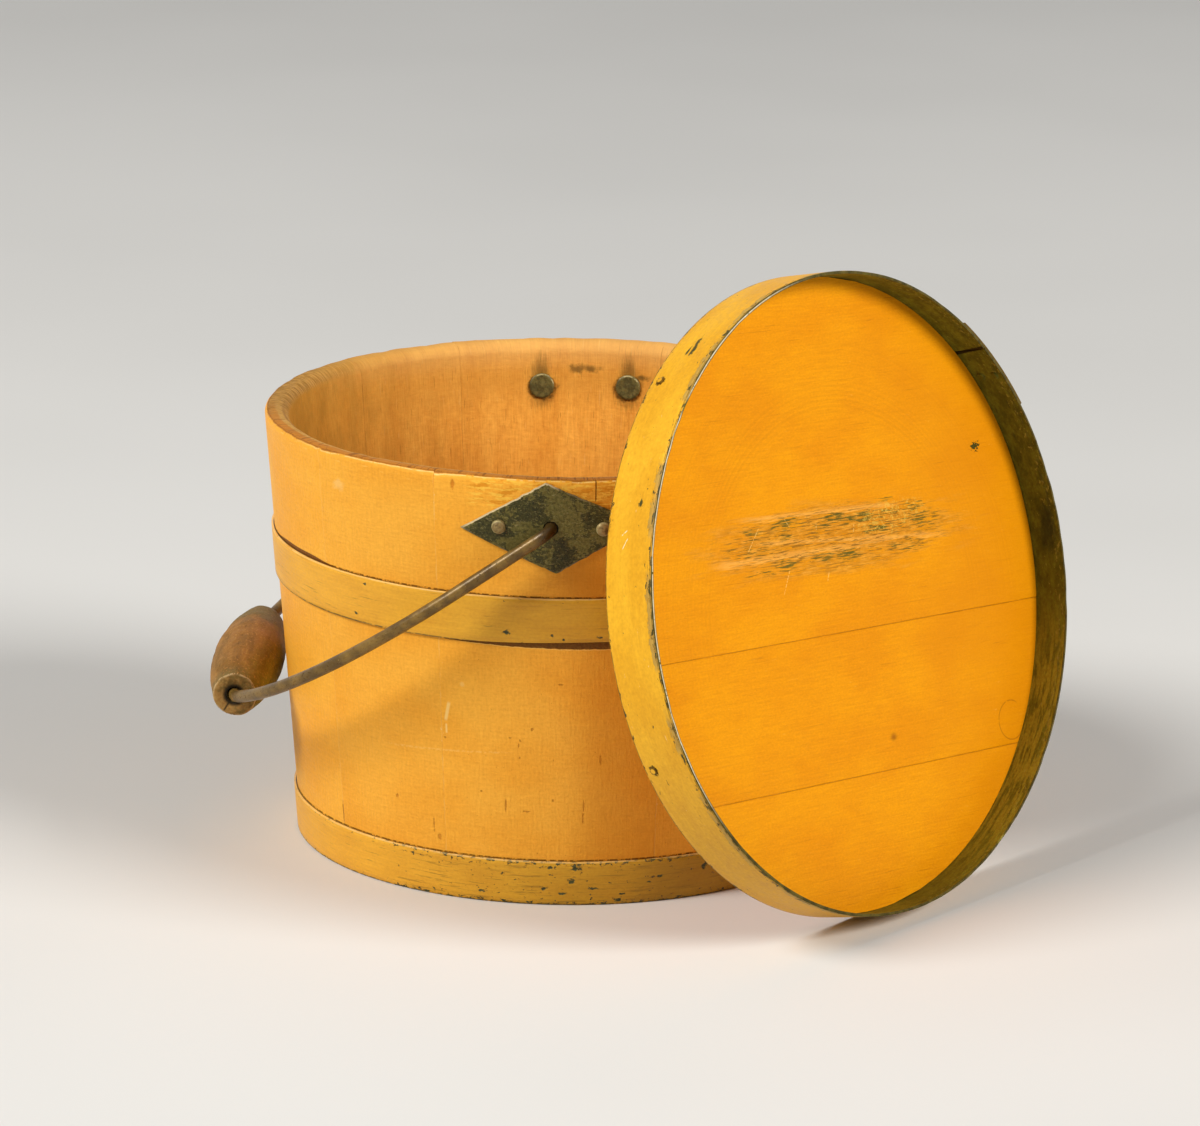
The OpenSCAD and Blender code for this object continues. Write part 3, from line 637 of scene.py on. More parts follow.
def band_material():
    """Lemon paint outside, dull olive inside, and an edge rubbed pale along the left of the mouth."""
    s = Surface("band_paint", specular=0.11)
    across, up, out = s.on_lid()
    radius = s.math("SQRT", s.plus(s.times(across, across), s.times(up, up)))
    # The angle starts at the top of the lid, so its cut is at the bottom
    arc = s.times(s.math("ARCTAN2", across, up), LID_R)
    place = s.join(arc, out, 4.0)
    brush = s.noise(place, (0.014, 0.0014, 1), 3, 0.6)
    slow = s.noise(place, (0.04, 0.014, 1), 3)
    mottle = s.noise(place, (0.004, 0.0035, 1), 4, 0.65)
    crisp = s.noise(place, (0.0016, 0.0014, 1), 2, 0.5)
    to_mouth = s.minus(BAND_W, out)
    # Painted shade: the lower part of the band is darker
    lower_shade = s.step(up, 0.0, -0.13)
    paint = s.mix(s.step(slow, 0.36, 0.66), srgb(243, 181, 42), srgb(234, 169, 35))
    paint = s.mix(s.times(lower_shade, 0.7), paint, srgb(198, 150, 56))
    for amount, value in ((0.14, brush), (0.22, mottle), (0.18, crisp)):
        paint = s.shade(paint, amount, value)
    specks = s.step(s.noise(place, (0.0014, 0.0022, 1), 3, 0.6), 0.715, 0.74)
    paint = s.mix(s.times(specks, 0.7), paint, srgb(140, 92, 22))
    pale = s.step(s.noise(place, (0.0045, 0.0012, 1), 3, 0.7, 0.8), 0.71, 0.73)
    paint = s.mix(s.times(pale, 0.6), paint, srgb(255, 236, 176))
    # Rubbed strip beside the mouth, and chips along both edges
    chip = s.noise(place, (0.0055, 0.0020, 1), 5, 0.68, 0.4)
    stretch = s.step(s.noise(place, (0.035, 0.1, 1), 2), 0.40, 0.50)
    rubbed = s.times(stretch, s.step(s.plus(to_mouth, s.times(s.minus(chip, 0.5), 0.009)), 0.0038, 0.0028))
    colour = s.mix(s.times(rubbed, 0.75), paint, s.shade(srgb(176, 144, 76), 0.5, mottle))
    lift = s.either(s.times(s.step(to_mouth, 0.0058, 0.0), 0.155), s.times(s.step(out, 0.003, 0.0), 0.14))
    level = s.plus(chip, s.plus(lift, s.times(s.step(slow, 0.45, 0.6), 0.02)))
    dark = s.step(level, 0.692, 0.705)
    rub = s.step(level, 0.675, 0.692)
    colour = s.mix(s.times(rub, 0.65), colour, srgb(188, 124, 34))
    colour = s.mix(dark, colour, s.shade(s.mix(s.step(brush, 0.42, 0.58), srgb(96, 90, 50), srgb(60, 60, 30)), 0.4, crisp))
    for angle_deg, deep, size in ((120.1, 14.2, (5.5, 1.1)), (121.5, 11.5, (3.0, 0.7)), (153.1, 18.8, (1.6, 1.2))):
        spot_arc = math.radians(90 - angle_deg) * LID_R
        flake = s.spot(arc, out, (spot_arc, deep * MM), (size[0] * MM, size[1] * MM), 0.3, chip, 2.2)
        colour = s.mix(flake, colour, srgb(78, 72, 28))
    mark = math.radians(90 - 159.4) * LID_R
    rubs = (
        s.line(arc, out, (mark - 4.0 * MM, 10.2 * MM), (mark + 0.5 * MM, 12.9 * MM), 0.3 * MM),
        s.line(arc, out, (mark + 2.2 * MM, 9.3 * MM), (mark + 4.4 * MM, 12.2 * MM), 0.3 * MM),
    )
    colour = s.mix(s.times(s.either(*rubs), s.step(crisp, 0.36, 0.46)), colour, srgb(255, 238, 190))
    # Dark line along the back edge: chipped paint, with painted shade where the band meets the pail
    back_edge = s.times(s.step(out, 0.0011, 0.0005), s.step(mottle, 0.38, 0.48), 0.75)
    mouth_line = s.times(s.between(to_mouth, 0.0006, 0.0013, 0.0002), s.step(mottle, 0.40, 0.50), 0.6)
    at_right = s.times(s.between(arc, math.radians(8) * LID_R, math.radians(110) * LID_R, 0.01), s.step(s.plus(to_mouth, s.times(s.minus(chip, 0.5), 0.010)), 0.0045, 0.0035))
    colour = s.mix(s.either(back_edge, mouth_line, at_right), colour, srgb(104, 78, 24))
    # Nails: a dark outline round each painted head
    nail = s.step(s.fact("edge"), 0.0006, 0.0003)
    pitch = 72 * math.pi / 180 * LID_R
    aside = s.minus(arc, math.radians(90 - NAIL_AZ[0]) * LID_R)
    aside = s.minus(aside, s.times(s.math("ROUND", s.math("DIVIDE", aside, pitch)), pitch))
    socket = s.spot(aside, out, (0.0, NAIL_DEPTH), (2.5 * MM, 2.5 * MM), 0.12, crisp, 0.7)
    colour = s.mix(s.times(s.either(nail, s.times(socket, s.step(s.fact("edge"), 0.5, 0.9))), 0.85), colour, srgb(62, 46, 16))
    # Inside
    smear = s.noise(place, (0.010, 0.0055, 1), 4, 0.65, 0.2)
    rust = s.noise(place, (0.014, 0.006, 1), 4, 0.62)
    strokes = s.noise(place, (0.016, 0.0024, 1), 4, 0.7, 0.3)
    inside = s.mix(s.step(smear, 0.38, 0.66), srgb(78, 76, 18), srgb(106, 104, 28))
    yellow = s.times(s.step(across, 0.02, 0.1), s.step(up, -0.02, -0.08), s.step(strokes, 0.40, 0.56))
    by_foot = s.times(s.step(across, 0.0, 0.08), s.step(up, 0.0, -0.06))
    inside = s.mix(s.times(by_foot, 0.8), inside, s.shade(srgb(116, 110, 28), 0.4, smear))
    inside = s.mix(s.times(yellow, 0.75), inside, srgb(174, 158, 46))
    flecks = s.step(s.plus(s.noise(place, (0.0032, 0.0018, 1), 4, 0.68), s.times(s.step(to_mouth, 0.012, 0.002), 0.08)), 0.645, 0.675)
    inside = s.mix(s.times(flecks, 0.6), inside, srgb(156, 140, 62))
    inside = s.mix(s.times(s.step(rust, 0.62, 0.68), s.minus(0.55, s.times(by_foot, 0.3))), inside, srgb(46, 46, 18))
    stain = s.spot(arc, out, (math.radians(89) * LID_R, 21 * MM), (9 * MM, 4.5 * MM), 0.6, rust, 1.6)
    inside = s.mix(s.times(stain, 0.8), inside, srgb(44, 46, 22))
    inside = s.shade(inside, 0.5, crisp)
    seam = math.radians(90 - BAND_END_AZ) * LID_R
    inside = s.mix(s.between(s.plus(arc, s.times(out, 0.12)), seam + 0.0012, seam + 0.0034, 0.0003), inside, srgb(30, 24, 6))
    within = s.step(radius, LID_R - 0.0004, LID_R - 0.0007)
    colour = s.mix(within, colour, inside)
    # The cut edge at the mouth
    mouth = s.step(to_mouth, 0.0006, 0.0003)
    at_left = s.between(arc, math.radians(-118) * LID_R, math.radians(-10) * LID_R, 0.025)
    colour = s.mix(mouth, colour, s.mix(s.step(chip, 0.4, 0.6), srgb(92, 80, 30), srgb(64, 56, 18)))
    bright = s.times(mouth, at_left, s.between(radius, LID_R - 0.0011, LID_R - 0.0005, 0.0002), s.step(chip, 0.32, 0.42))
    colour = s.mix(s.times(bright, 0.9), colour, s.shade(srgb(222, 206, 172), 0.5, crisp))
    rough = s.plus(0.42, s.times(s.minus(mottle, 0.4), 0.4))
    height = s.plus(s.times(crisp, 0.3), s.plus(s.times(mottle, 0.3), s.times(s.inverse(s.either(dark, rubbed)), 0.5)))
    return s.finish(colour, rough, [(height, 0.3 * MM)])


def lid_material():
    """Deep orange paint on the lid's boards, with a scraped patch in the middle of the inside."""
    s = Surface("lid_paint", specular=0.08)
    across, up, out = s.on_lid()
    turn = math.radians(BOARD_TURN_DEG)
    along = s.plus(s.times(across, math.cos(turn)), s.times(up, math.sin(turn)))
    over = s.minus(s.times(up, math.cos(turn)), s.times(across, math.sin(turn)))
    place = s.join(along, over, s.fact("board"))
    whole = s.join(along, over, 2.0)
    slow = s.noise(place, (0.06, 0.04, 1), 3)
    grain = s.noise(place, (0.018, 0.0010, 1), 4, 0.68, 0.3)
    mottle = s.noise(place, (0.006, 0.004, 1), 4, 0.62)
    crisp = s.noise(place, (0.0015, 0.0010, 1), 2, 0.5)
    paint = s.mix(s.step(slow, 0.34, 0.66), srgb(227, 147, 4), srgb(220, 137, 3))
    for amount, value in ((0.24, grain), (0.07, mottle), (0.20, crisp)):
        paint = s.shade(paint, amount, value)
    browned = s.times(s.step(s.plus(across, s.times(s.minus(slow, 0.5), 0.1)), 0.02, 0.13), 0.55)
    paint = s.mix(browned, paint, srgb(212, 131, 2))
    lines = s.step(s.noise(place, (0.050, 0.0011, 1), 3, 0.68, 0.4), 0.645, 0.69)
    paint = s.mix(s.times(lines, s.plus(0.2, s.times(s.step(slow, 0.42, 0.58), 0.3))), paint, srgb(176, 98, 4))
    # Faint arcs of a turned brush mark
    arc_x, arc_y = s.minus(across, 2.5 * MM), s.plus(up, 11 * MM)
    ring = s.math("SQRT", s.plus(s.times(arc_x, arc_x), s.times(arc_y, arc_y)))
    ringed = s.step(s.noise(s.join(ring, 0.0, 0.0), (0.0014, 1, 1), 2), 0.42, 0.60)
    near_top = s.times(s.between(ring, 0.0985, 0.1105, 0.002), s.step(up, 0.03, 0.07), 0.2)
    wider = s.times(s.between(ring, 0.092, 0.134, 0.006), s.step(up, -0.06, 0.0), 0.11)
    arcs = s.times(s.either(near_top, wider), ringed)
    paint = s.mix(arcs, paint, srgb(186, 106, 6))
    # Scraped patch: strokes along the grain down to tan wood, with green-black left in some of them
    stroke = s.noise(whole, (0.020, 0.0010, 1), 4, 0.7, 0.3)
    hairs = s.noise(s.join(along, over, 7.0), (0.010, 0.0008, 1), 3, 0.65, 0.4)
    edge_noise = s.noise(s.join(along, over, 5.0), (0.03, 0.005, 1), 3, 0.6)
    leaning = s.plus(up, s.times(across, 0.1))
    patch = s.spot(across, leaning, (4 * MM, 27 * MM), (83 * MM, 15 * MM), 0.35, edge_noise, 0.8)
    tan = s.shade(s.mix(s.step(mottle, 0.4, 0.6), srgb(220, 150, 48), srgb(196, 126, 30)), 0.5, stroke)
    scraped = s.times(patch, s.step(stroke, 0.38, 0.54))
    colour = s.mix(s.times(scraped, 0.75), paint, tan)
    jitter = s.plus(up, s.times(s.minus(stroke, 0.5), 0.006))
    bars = s.either(*[s.line(across, jitter, (p * MM, q * MM), (p2 * MM, q2 * MM), half * MM) for p, q, p2, q2, half in SCRAPES])
    colour = s.mix(s.times(bars, s.step(hairs, 0.26, 0.52), 0.75), colour, s.shade(srgb(236, 166, 70), 0.5, stroke))
    dark_hair = s.times(patch, s.step(hairs, 0.50, 0.60), s.step(edge_noise, 0.30, 0.50), 0.8)
    colour = s.mix(dark_hair, colour, srgb(132, 90, 24))
    flecks = s.plus(s.times(s.noise(s.join(along, over, 8.0), (0.0080, 0.0010, 1), 5, 0.8), 0.4), s.times(hairs, 0.6))
    bias = 0.0
    for p, q, half_p, half_q, gain in STAINS:
        place_q = (q + 0.1 * p) * MM
        mark = s.spot(across, leaning, (p * MM, place_q), (half_p * MM, half_q * MM), 0.6, edge_noise, 0.5)
        bias = s.either(bias, s.times(mark, gain))
    green = s.step(s.plus(flecks, s.times(bias, 0.13)), 0.56, 0.68)
    colour = s.mix(s.times(green, s.step(bias, 0.05, 0.4), 0.85), colour, s.shade(srgb(84, 84, 26), 0.5, crisp))
    speckled = s.spot(across, up, (47 * MM, 29.5 * MM), (24 * MM, 7 * MM), 0.5, edge_noise, 0.6)
    speckle = s.step(s.noise(s.join(across, up, 12.0), (0.0022, 0.0016, 1), 3, 0.65, 1.0), 0.54, 0.60)
    colour = s.mix(s.times(speckled, speckle, 0.6), colour, srgb(224, 186, 78))
    scratch = s.step(s.noise(s.join(along, over, 11.0), (0.008, 0.0010, 1), 3, 0.6, 1.4), 0.70, 0.72)
    colour = s.mix(s.times(scratch, s.plus(0.25, s.times(patch, 0.35))), colour, srgb(244, 186, 84))
    nicks = ((-59, 32, -49.5, 41), (-30, 42, -27.5, 38), (-8, 36, -8.5, 33), (19.3, 30.5, 18, 27), (-32, 18, -38.5, 8), (-4, 12, -6, 8))
    ends = [(p * MM, q * MM) for nick in nicks for p, q in (nick[:2], nick[2:])]
    hairlines = s.either(*[s.line(across, up, ends[i], ends[i + 1], 0.3 * MM) for i in range(0, len(ends), 2)])
    colour = s.mix(s.times(hairlines, s.step(crisp, 0.40, 0.52), 0.6), colour, srgb(255, 208, 118))
    # Specks and small knocks
    specks = s.step(s.noise(place, (0.0024, 0.0016, 1), 3, 0.6), 0.725, 0.745)
    colour = s.mix(s.times(specks, 0.6), colour, srgb(156, 80, 5))
    knock = s.spot(across, up, (119.2 * MM, 50.4 * MM), (2.6 * MM, 1.7 * MM), 0.15, crisp, 2.4)
    colour = s.mix(knock, colour, srgb(66, 62, 18))
    brown = s.spot(across, up, (23.2 * MM, -74 * MM), (1.9 * MM, 1.5 * MM), 0.9)
    colour = s.mix(s.times(brown, 0.7), colour, srgb(130, 68, 8))
    bow_x, bow_y = s.minus(across, 0.1135), s.plus(up, 0.0850)
    bow = s.math("SQRT", s.plus(s.times(bow_x, bow_x), s.times(bow_y, bow_y)))
    curl = s.times(s.between(bow, 0.0093, 0.0099, 0.0003), s.step(across, 0.121, 0.117), s.step(mottle, 0.36, 0.46))
    colour = s.mix(s.times(curl, 0.5), colour, srgb(136, 74, 8))
    joint = s.times(s.step(s.fact("edge"), 0.0005, 0.0001), s.step(grain, 0.40, 0.56))
    colour = s.mix(s.times(joint, 0.25), colour, srgb(150, 84, 8))
    # Outside of the lid: the pail's own paint colour, dulled
    outside = s.step(out, 0.004, 0.002)
    dulled = s.shade(s.mix(s.step(slow, 0.36, 0.64), srgb(240, 168, 50), srgb(226, 152, 40)), 0.25, grain)
    colour = s.mix(outside, colour, dulled)
    rough = s.plus(0.42, s.plus(s.times(s.minus(mottle, 0.4), 0.3), s.times(scraped, 0.15)))
    height = s.plus(s.times(grain, 0.5), s.plus(s.times(crisp, 0.3), s.times(s.inverse(scraped), 0.4)))
    return s.finish(colour, rough, [(height, 0.3 * MM), (s.either(knock, s.times(joint, 0.5)), -0.3 * MM)])


def bottom_material():
    """Bare boards of the pail's bottom, stained by use."""
    s = Surface("bare_wood", specular=0.3)
    turn = math.radians(20)
    along = s.along((0, 0, 0), (math.cos(turn), math.sin(turn), 0))
    over = s.along((0, 0, 0), (-math.sin(turn), math.cos(turn), 0))
    colour, height = pine(s, over, along, s.fact("board"), srgb(224, 172, 96), srgb(206, 150, 76))
    worn = s.noise(s.join(along, over, 1.0), (0.05, 0.04, 1), 4, 0.6)
    colour = s.mix(s.times(s.step(worn, 0.52, 0.68), 0.4), colour, srgb(168, 124, 66))
    return s.finish(colour, s.plus(0.6, s.times(s.minus(worn, 0.5), 0.3)), [(height, 0.2 * MM)])


def plate_material():
    """Wrought iron: grey-green metal under patches of old black-green finish, rubbed bright in places at its edges,
    with a painted highlight along the upper left edges.
    """
    s = Surface("dark_iron", specular=0.2)
    arc, z, depth = s.on_wall()
    place = s.join(arc, z, depth)
    blotch = s.noise(place, (0.010, 0.008, 1), 5, 0.66, 0.5)
    pitted = s.noise(place, (0.0018, 0.0016, 1), 4, 0.68)
    grain = s.noise(place, (0.0008, 0.0018, 1), 3, 0.6)
    scuff = s.noise(place, (0.0034, 0.0011, 1), 4, 0.7, 1.4)
    x, y = s.minus(arc, s.arc_of(PLATE_AZ)), s.minus(z, HINGE.z)
    bias = 0.0
    # Where the finish is left and where it has gone: centre, half size and how much
    zones = (((-11, 9), (10, 6), 0.13), ((-30, -2), (9, 7), 0.08), ((22, 6), (8, 5), 0.10), ((5, -14), (15, 7), 0.04), ((7, 10), (9, 6), -0.15), ((-20, -9), (7, 4), -0.06))
    for centre, size, gain in zones:
        patch = s.spot(x, y, (centre[0] * MM, centre[1] * MM), (size[0] * MM, size[1] * MM), 0.6)
        bias = s.plus(bias, s.times(patch, gain))
    level = s.plus(s.plus(blotch, bias), s.times(s.minus(pitted, 0.5), 0.55))
    film = s.step(level, 0.495, 0.545)
    metal = s.mix(s.step(pitted, 0.34, 0.66), srgb(116, 105, 52), srgb(84, 77, 35))
    black = s.mix(s.step(pitted, 0.38, 0.62), srgb(44, 43, 14), srgb(74, 68, 30))
    colour = s.shade(s.mix(film, metal, black), 0.6, grain)
    colour = s.mix(s.times(s.step(scuff, 0.58, 0.64), 0.5), colour, srgb(158, 144, 94))
    nicks = s.step(s.noise(place, (0.0012, 0.0010, 1), 3, 0.65, 0.8), 0.61, 0.66)
    colour = s.mix(s.times(nicks, 0.5), colour, srgb(150, 138, 88))
    rust = s.step(s.noise(place, (0.005, 0.0045, 1), 4, 0.6), 0.66, 0.71)
    colour = s.mix(s.times(rust, 0.5), colour, srgb(132, 96, 46))
    to_edge = s.plus(s.fact("edge"), s.times(s.minus(pitted, 0.5), 0.0012))
    # Pale edge: a painted highlight along the upper left edges, and rubbed places along the rest
    highlit_upper_left = s.times(s.step(y, -0.004, 0.0), s.step(x, 0.006, 0.0))
    rubbed = s.times(s.step(to_edge, 0.0006, 0.0003), s.either(highlit_upper_left, s.times(s.step(blotch, 0.50, 0.60), 0.25)))
    colour = s.mix(s.times(rubbed, 0.85), colour, srgb(216, 196, 150))
    rough = s.plus(0.45, s.times(s.minus(pitted, 0.4), 0.5))
    height = s.plus(s.times(pitted, 0.7), s.times(film, 0.3))
    return s.finish(colour, rough, [(height, 0.22 * MM)], s.times(s.inverse(film), 0.25))


def small_iron_material(name, light, dark, metallic):
    """Rivets and burrs: dull iron, pitted, with a crown or a rim drawn brighter: rubbed on the rivets, a painted
    highlight along the upper rim on the burrs.
    """
    s = Surface(name, specular=0.35)
    place = s.object_place
    blotch = s.noise(place, (0.0030, 0.0030, 0.0030), 4, 0.6)
    pitted = s.noise(place, (0.0010, 0.0010, 0.0010), 3, 0.6)
    colour = s.shade(s.mix(s.step(blotch, 0.4, 0.6), light, dark), 0.6, pitted)
    # A brighter ring near the edge: rubbed on the rivets, a painted highlight on the burrs' upper rim
    bright = s.between(s.fact("edge"), 0.0001, 0.0007, 0.0002)
    colour = s.mix(s.times(bright, s.step(blotch, 0.40, 0.50), 0.75), colour, srgb(186, 170, 116))
    rough = s.plus(0.45, s.times(s.minus(pitted, 0.5), 0.4))
    return s.finish(colour, rough, [(pitted, 0.15 * MM)], metallic)


def wire_material():
    """Brown iron wire, rubbed smooth along its length."""
    s = Surface("wire_iron", specular=0.3)
    along = s.along(HINGE, ALONG_HINGE)
    down = s.along(HINGE, TO_GRIP)
    place = s.join(along, down, s.along(HINGE, ALONG_HINGE.cross(TO_GRIP)))
    slow = s.noise(place, (0.012, 0.012, 0.012), 3, 0.6)
    fine = s.noise(place, (0.0018, 0.0018, 0.0010), 4, 0.65)
    colour = s.mix(s.step(slow, 0.36, 0.64), srgb(132, 102, 46), srgb(98, 74, 32))
    colour = s.shade(colour, 0.5, fine)
    # Painted shade on the wire near the hinge, where it goes into the ear
    colour = s.mix(s.times(s.step(down, 0.011, 0.003), 0.75), colour, srgb(48, 32, 12))
    pits = s.step(s.noise(place, (0.0014, 0.0014, 0.0010), 3, 0.6), 0.64, 0.70)
    colour = s.mix(s.times(pits, 0.6), colour, srgb(62, 44, 18))
    rubbed = s.step(s.noise(place, (0.004, 0.004, 0.0014), 4, 0.7), 0.64, 0.70)
    colour = s.mix(s.times(rubbed, 0.5), colour, srgb(190, 156, 96))
    rough = s.plus(0.32, s.times(s.minus(fine, 0.5), 0.4))
    return s.finish(colour, rough, [(fine, 0.07 * MM), (pits, -0.1 * MM)], 0.15)


def grip_material():
    """Handled wood: red-brown, greyer at the ends, with grain along the grip and marks of the turning tool."""
    s = Surface("grip_wood", specular=0.15)
    along = s.along(GRIP_MIDDLE, ALONG_HINGE)
    a = s.along(GRIP_MIDDLE, TO_GRIP)
    b = s.along(GRIP_MIDDLE, ALONG_HINGE.cross(TO_GRIP))
    place = s.join(a, b, along)
    wide = s.noise(place, (0.010, 0.010, 0.03), 4, 0.6, 0.5)
    fine = s.noise(place, (0.0012, 0.0012, 0.005), 4, 0.7)
    fleck = s.noise(place, (0.0014, 0.0014, 0.0018), 3, 0.65)
    blotch = s.noise(place, (0.010, 0.010, 0.014), 4, 0.6)
    facing = s.step(s.plus(b, s.times(s.minus(blotch, 0.5), 0.02)), -0.012, 0.010)
    brown = s.mix(s.step(wide, 0.36, 0.64), srgb(164, 116, 54), srgb(134, 96, 42))
    yellow = s.mix(s.step(wide, 0.36, 0.64), srgb(132, 124, 54), srgb(108, 102, 40))
    colour = s.mix(facing, brown, yellow)
    colour = s.shade(colour, 0.4, fine)
    colour = s.shade(colour, 0.3, fleck)
    to_end = s.minus(GRIP_HALF, s.math("ABSOLUTE", along))
    far_end = s.step(along, 0.0, -0.02)
    reach = s.plus(0.005, s.times(far_end, 0.034))
    grey = s.step(s.minus(s.plus(to_end, s.times(s.minus(blotch, 0.5), 0.03)), reach), 0.008, -0.006)
    colour = s.mix(s.times(grey, 0.85), colour, s.shade(srgb(120, 102, 54), 0.4, fine))
    flecks = s.step(fleck, 0.58, 0.68)
    colour = s.mix(s.times(flecks, 0.45), colour, srgb(214, 150, 84))
    dirt = s.step(s.noise(place, (0.0026, 0.0026, 0.005), 4, 0.68), 0.62, 0.68)
    colour = s.mix(s.times(dirt, 0.5), colour, srgb(84, 54, 18))
    radius = s.math("SQRT", s.plus(s.times(a, a), s.times(b, b)))
    at_end = s.step(to_end, 0.0014, 0.0006)
    end_colour = s.shade(s.mix(s.step(blotch, 0.42, 0.58), srgb(160, 121, 64), srgb(112, 88, 42)), 0.7, fleck)
    colour = s.mix(at_end, colour, end_colour)
    # Painted highlight along the arris of each end
    arris = s.times(s.between(to_end, 0.0003, 0.0012, 0.0003), s.step(fine, 0.40, 0.52))
    colour = s.mix(s.times(arris, 0.6), colour, srgb(214, 184, 136))
    # Painted shade round the bore on each end face
    colour = s.mix(s.times(at_end, s.step(radius, 0.0066, 0.0044)), colour, srgb(40, 32, 16))
    crack = s.times(at_end, s.line(a, b, (0.003, 0.001), (0.0088, 0.0036), 0.0006))
    colour = s.mix(s.times(crack, 0.8), colour, srgb(40, 30, 12))
    rings = s.noise(s.join(0.0, 0.0, along), (1, 1, 0.0016), 2, 0.5)
    rough = s.plus(0.62, s.times(s.minus(blotch, 0.5), 0.3))
    return s.finish(colour, rough, [(rings, 0.12 * MM), (fine, 0.25 * MM), (fleck, 0.2 * MM), (dirt, -0.12 * MM)])


# Pieces of the pail
def stave_span(node):
    """First and last azimuth of a stave's outside, in radians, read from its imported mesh."""
    points = np.array([v.co for v in frame["nodes"][node].data.vertices])
    r = np.hypot(points[:, 0], points[:, 1])
    outside = points[r > BASE_R + SLOPE * points[:, 2] - 0.2 * MM]
    centre = math.atan2(*points.mean(0)[[1, 0]])
    az = (np.arctan2(outside[:, 1], outside[:, 0]) - centre + math.pi) % (2 * math.pi) - math.pi
    return centre + az.min(), centre + az.max()


def rim_height(depth):
    """Height of the rim's rounded top at a depth in the wall."""
    outer = np.clip(RIM_ROUND - depth, 0, RIM_ROUND)
    inner = np.clip(depth - (WALL_T - RIM_ROUND_IN), 0, RIM_ROUND_IN)
    return (
        PAIL_H - RIM_ROUND - RIM_ROUND_IN
        + np.sqrt(RIM_ROUND**2 - outer**2)
        + np.sqrt(RIM_ROUND_IN**2 - inner**2)
    )


def foot_height(depth):
    return np.clip(depth - (WALL_T - CHIME_BEVEL), 0, CHIME_BEVEL)


def stave_side():
    """A stave's side as a grid of (depth, height), whose four borders are its outline."""
    arc = np.linspace(0, math.pi / 2, 6)
    depths = np.concatenate([
        RIM_ROUND * (1 - np.cos(arc)),
        np.array([WALL_T / 2 - TONGUE, 4.6 * MM, WALL_T / 2, 7.4 * MM, WALL_T / 2 + TONGUE]),
        WALL_T - RIM_ROUND_IN * (1 - np.sin(arc[1:])),
    ])
    above = np.concatenate([np.arange(24, 196, 4.0) * MM, np.arange(198, 210, 1.5) * MM])
    outer_z = np.concatenate([np.array([0, 10, 14, 17, 20]) * MM, above, [PAIL_H - RIM_ROUND]])
    groove_z = [CROZE_LOW, CROZE_LOW, CROZE_HIGH, CROZE_HIGH]
    inner_z = np.concatenate([[CHIME_BEVEL], groove_z, above, [PAIL_H - RIM_ROUND_IN]])
    groove = np.zeros(len(inner_z))
    groove[2:4] = CROZE_DEPTH
    u = (depths / WALL_T)[:, None]
    v = np.linspace(0, 1, len(outer_z))[None, :]
    z = (1 - u) * outer_z + u * inner_z
    for low_share, bend, ends in ((1 - v, foot_height(depths), (0, -1)), (v, rim_height(depths), (-1, -1))):
        straight = bend[0] + (bend[-1] - bend[0]) * u[:, 0]
        z = z + low_share * (bend - straight)[:, None]
    depth = np.broadcast_to(depths[:, None], z.shape) - u * groove * 1.0
    return depth, z


def tongue_shift(depth):
    return np.clip(TONGUE - np.abs(depth - WALL_T / 2), 0, TONGUE)


def rim_chips(seed, count):
    """Places along a stave and sizes of small knocks on the rim's outer edge."""
    draw = np.random.default_rng(seed)
    return [(draw.random(), (1.5 + 2.5 * draw.random()) * MM, (0.15 + 0.35 * draw.random()) * MM) for _ in range(count)]


